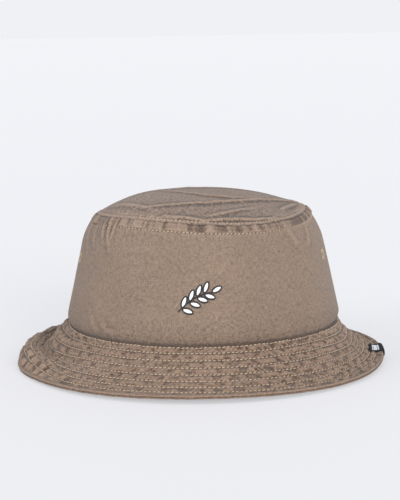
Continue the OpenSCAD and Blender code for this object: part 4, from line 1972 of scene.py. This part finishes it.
@dataclass
class Sprig:
    """A small embroidered sprig on the front: white satin-stitch leaves with a dark outline."""

    crown: Crown
    middle_z: float = 61.0
    pairs: int = 4
    leaf_w: float = 4.2
    leaf_l: float = 7.6
    start: float = -11.7
    step: float = 5.2
    tilt: float = 42.0
    slope: float = 24.0
    curl: float = 0.02
    outline: float = 0.95
    fill_rows: int = 26
    edge_rows: int = 34
    fill_thread: Thread = Thread(0.17 * MM, 6, 0.5)
    edge_thread: Thread = Thread(0.19 * MM, 6, 0.6)

    def stem_y(self, x: float | Array) -> float | Array:
        """Height of the stem at x, in millimetres."""
        return x * math.tan(math.radians(self.slope)) - self.curl * x * x

    def leaves(self) -> list[tuple[float, float, float]]:
        """Lays the leaves out in pairs along the stem, with one at its end.

        Returns:
            Foot and heading of every leaf, in millimetres and degrees.
        """
        feet = [self.start + self.step * i for i in range(self.pairs + 1)]
        places = [(x, side * self.tilt) for x in feet[:-1] for side in (-1, 1)]
        places.append((feet[-1], 0.0))
        return [(x, self.stem_y(x), self.slope + tilt) for x, tilt in places]

    def half_width(self, along: Array) -> Array:
        """Half the leaf's width at a share of its length."""
        return self.leaf_w / 2 * np.clip(4 * along * (1 - along), 0, 1) ** 0.62

    def lay(self, leaf: tuple[float, float, float], along: Array, across: Array, n: Array) -> Array:
        """Puts points of a leaf on the wall.

        Args:
            leaf: Its foot and heading.
            along: Distances from its foot, in millimetres.
            across: Distances to its side.
            n: Lift above the cloth, in metres.

        Returns:
            The points.
        """
        x0, y0, heading = leaf
        c, s = math.cos(math.radians(heading)), math.sin(math.radians(heading))
        x = x0 + (1 + along) * c - across * s
        y = y0 + (1 + along) * s + across * c
        a = np.degrees(x * MM / FORM.crown_half_w)
        t = ((self.middle_z + y) * MM - FORM.seam_z) / FORM.crown_h
        return FORM.skin(Face.WALL, t, a, self.crown.wall(t, a) + n)

    def fill(self, leaf: tuple[float, float, float]) -> Array:
        """Slanting satin stitches across a leaf.

        Args:
            leaf: Its foot and heading.

        Returns:
            The stitches' paths.
        """
        stops = np.linspace(-1, 1, 7)
        share = np.linspace(0.12, 0.88, self.fill_rows)[:, None]
        half = np.maximum(self.half_width(share) - self.outline * 0.85, 0.1)
        along = share * self.leaf_l + half * stops * 0.45
        rise = (0.62 - 0.42 * np.abs(stops) ** 2.5) * MM
        return self.lay(leaf, along, half * stops, rise)

    def edge(self, leaf: tuple[float, float, float]) -> Array:
        """Short stitches laid over the leaf's outline.

        Args:
            leaf: Its foot and heading.

        Returns:
            The stitches' paths.
        """
        stops = np.linspace(-1, 1, 5)
        there, back = np.linspace(0, 1, self.edge_rows), np.linspace(1, 0, self.edge_rows)[1:-1]
        share = np.concatenate([there, back])[:, None]
        side = np.where(np.arange(len(share)) < self.edge_rows, 1.0, -1.0)[:, None]
        half = self.half_width(share) - self.outline / 2
        lean = (1 - 2 * share) * -0.8
        across = side * (half + self.outline * 0.62 * stops)
        along = share * self.leaf_l + lean * stops * self.outline * 0.7
        rise = (0.40 - 0.40 * np.abs(stops) ** 2.5) * MM
        return self.lay(leaf, along, across, rise)

    def stem(self) -> Array:
        """Slanting stitches along the stem.

        Returns:
            The stitches' paths.
        """
        x = np.linspace(self.start - 2.0, self.start + self.step * self.pairs + 1.5, 80)[:, None]
        stops = np.linspace(-1, 1, 5)
        y = self.stem_y(x)
        a = np.degrees((x - 0.22 * stops) * MM / FORM.crown_half_w)
        t = ((self.middle_z + y + 0.42 * stops) * MM - FORM.seam_z) / FORM.crown_h
        rise = (0.42 - 0.42 * np.abs(stops) ** 2.5) * MM
        return FORM.skin(Face.WALL, t, a, self.crown.wall(t, a) + rise)

    def build(self) -> None:
        """Embroiders the dark outline first and the white fill over it."""
        foot = np.array((self.middle_z * MM - FORM.seam_z) / FORM.crown_h)
        out = FORM.outward(Face.WALL, foot, np.array(0.0))

        def facing(paths: Array) -> tuple[Array, Array]:
            """Stitches with the outward direction of the wall."""
            return paths, np.broadcast_to(out, (len(paths), 3))

        leaves = self.leaves()
        dark = [facing(self.edge(leaf)) for leaf in leaves] + [facing(self.stem())]
        sew("sprig_outline", "motif_outline", dark, BLACK_THREAD, self.edge_thread)
        white = [facing(self.fill(leaf)) for leaf in leaves]
        sew("sprig_fill", "motif_fill", white, WHITE_THREAD, self.fill_thread)


# --- Labels ---


@dataclass
class Labels:
    """The folded flag over the brim's edge, the size tab on the sweatband and the hanging care tab."""

    crown: Crown
    brim: Brim
    flag_at: float = 88.5
    flag_half: float = 4.75
    flag_slant: float = 14.0
    flag_fold: tuple[tuple[float, float], ...] = (
        (12.4, -1.75),
        (8.0, -1.95),
        (4.0, -2.0),
        (1.2, -1.95),
        (-0.6, -1.7),
        (-1.65, -0.9),
        (-1.8, 0.1),
        (-1.75, 1.1),
        (-1.25, 2.05),
        (-0.1, 2.5),
        (1.6, 2.4),
        (4.5, 2.05),
        (8.5, 2.05),
        (12.4, 1.9),
    )
    flag_t: float = 0.42 * MM
    size_at: tuple[float, float] = (180.0, 12.0)
    size_h: tuple[float, float] = (8.0 * MM, 26.0 * MM)
    size_n: float = -2.55 * MM
    hinge: tuple[float, float, float] = (0.0, 81.0 * MM, 94.4 * MM)
    care_w: float = 24.0 * MM
    care_h: float = 38.0 * MM
    care_t: float = 0.3 * MM
    flag_cut: Cut = Cut((0.022, 0.031), held=Held.FOLDED, rests_on=("brim_upper_front",))
    size_cut: Cut = Cut((0.038, 0.018), rests_on=("sweatband",))
    care_cut: Cut = Cut((0.024, 0.038), held=Held.HUNG, rests_on=("top_seam_binding",))

    def flag(self) -> None:
        """Folds the flag over the brim's edge."""
        points = np.array(self.flag_fold)
        fine = np.linspace(0, len(points) - 1, 66)
        padded = np.concatenate([2 * points[:1] - points[1:2], points, 2 * points[-1:] - points[-2:-1]])
        base = np.floor(np.minimum(fine, len(points) - 1.001)).astype(int)
        weights = spline_weights(fine - base)
        line = sum(w[:, None] * padded[np.minimum(base + i, len(padded) - 1)] for i, w in enumerate(weights))
        q, n = line[:, 0] * MM, line[:, 1] * MM
        dq, dn = np.gradient(q), np.gradient(n)
        run = np.hypot(dq, dn)
        a = np.linspace(self.flag_at - self.flag_half, self.flag_at + self.flag_half, 70)[:, None]
        frayed = 0.25 * Grain(81, 300, 12).at(a, np.linspace(0, 1, len(q))[None, :])
        length = FORM.run(Face.BRIM)
        uv_a = a - self.flag_at
        a = a + np.where(np.abs(uv_a) > self.flag_half - 0.2, frayed, 0.0)
        a = a + self.flag_slant * (0.13 - np.clip(q, 0, None) / length)[None, :]
        soft = self.brim.folds(np.clip(q / length, 0, 1)[None, :], a)
        soft = soft + 0.12 * MM * Grain(82, 90, 6).at(a, np.linspace(0, 1, len(q))[None, :])
        outer = FORM.skin(Face.BRIM, (q / length)[None, :], a, n[None, :] + soft)
        q_in, n_in = q - dn / run * self.flag_t, n + dq / run * self.flag_t
        inner = FORM.skin(Face.BRIM, (q_in / length)[None, :], a, n_in[None, :] + soft)
        along = np.concatenate([[0], np.cumsum(np.hypot(np.diff(q), np.diff(n)))])
        uv = np.stack(np.broadcast_arrays(uv_a * 2.3 * MM, along[-1] - along[None, :]), -1)
        grid = ClothGrid(outer, inner, uv, np.full(uv.shape[:2], 0.5))
        piece = grid.build("edge_flag")
        dress(piece, BLACK_RIBBON.material(), ["brim_edge_label"])
        self.flag_cut.declare(piece)

    def size_tab(self) -> None:
        """Sews the size tab to the sweatband, inside the back."""
        middle, half = self.size_at
        a = np.linspace(middle - half, middle + half, 60)[:, None]
        h = np.linspace(*self.size_h, 34)
        t = (h / FORM.crown_h)[None, :]
        u = np.linspace(-1, 1, 60)[:, None]
        v = np.linspace(-1, 1, 34)[None, :]
        puffed = 0.22 * MM * (1 - u**8) * (1 - v**8) + 0.1 * MM * Grain(83, 80, 4).at(a, t)
        body = self.crown.folds(t, a) + self.size_n
        outer = FORM.skin(Face.WALL, t, a, body)
        inner = FORM.skin(Face.WALL, t, a, body - 0.12 * MM - puffed)
        uv = np.stack(np.broadcast_arrays(-(a - middle) * 1.55 * MM, (h - np.mean(self.size_h))[None, :]), -1)
        grid = ClothGrid(outer, inner, uv, np.full(uv.shape[:2], 0.5))
        piece = dress(grid.build("size_tab"), WHITE_RIBBON.material(), ["size_label"])
        self.size_cut.declare(piece)

    def care_tab(self) -> None:
        """Hangs the care tab from the seam, free to swing."""
        u = np.linspace(-1, 1, 41)[:, None]
        v = np.linspace(0, 1, 60)[None, :]
        x, y0, z0 = self.hinge
        wave = 0.18 * MM * np.sin(v * 5.0 + u * 1.1) * v + 0.14 * MM * (u**2) * v
        side = self.care_t / 2
        px = x + u * self.care_w / 2
        pz = z0 - v * self.care_h
        outer = np.stack(np.broadcast_arrays(px, y0 + wave - side, pz), -1)
        inner = np.stack(np.broadcast_arrays(px, y0 + wave + side, pz), -1)
        uv = np.stack(np.broadcast_arrays(px, pz - z0 + self.care_h / 2), -1)
        grid = ClothGrid(outer[:, ::-1], inner[:, ::-1], uv[:, ::-1], np.full(uv.shape[:2], 0.5))
        piece = grid.build("care_tab")
        dress(piece, WHITE_RIBBON.material(), ["care_label"], "care_label")
        self.care_cut.declare(piece)

    def build(self) -> None:
        """Builds the three labels."""
        self.flag()
        self.size_tab()
        self.care_tab()


def main() -> None:
    """Builds the whole hat and its studio."""
    logging.basicConfig(level=logging.INFO, format="%(name)s: %(message)s")
    Studio().build()
    crown, brim = Crown(), Brim()
    crown.build()
    brim.build()
    Lining(crown).build()
    Eyelets(crown).build()
    Sprig(crown).build()
    Labels(crown, brim).build()


if __name__ == "__main__":
    main()
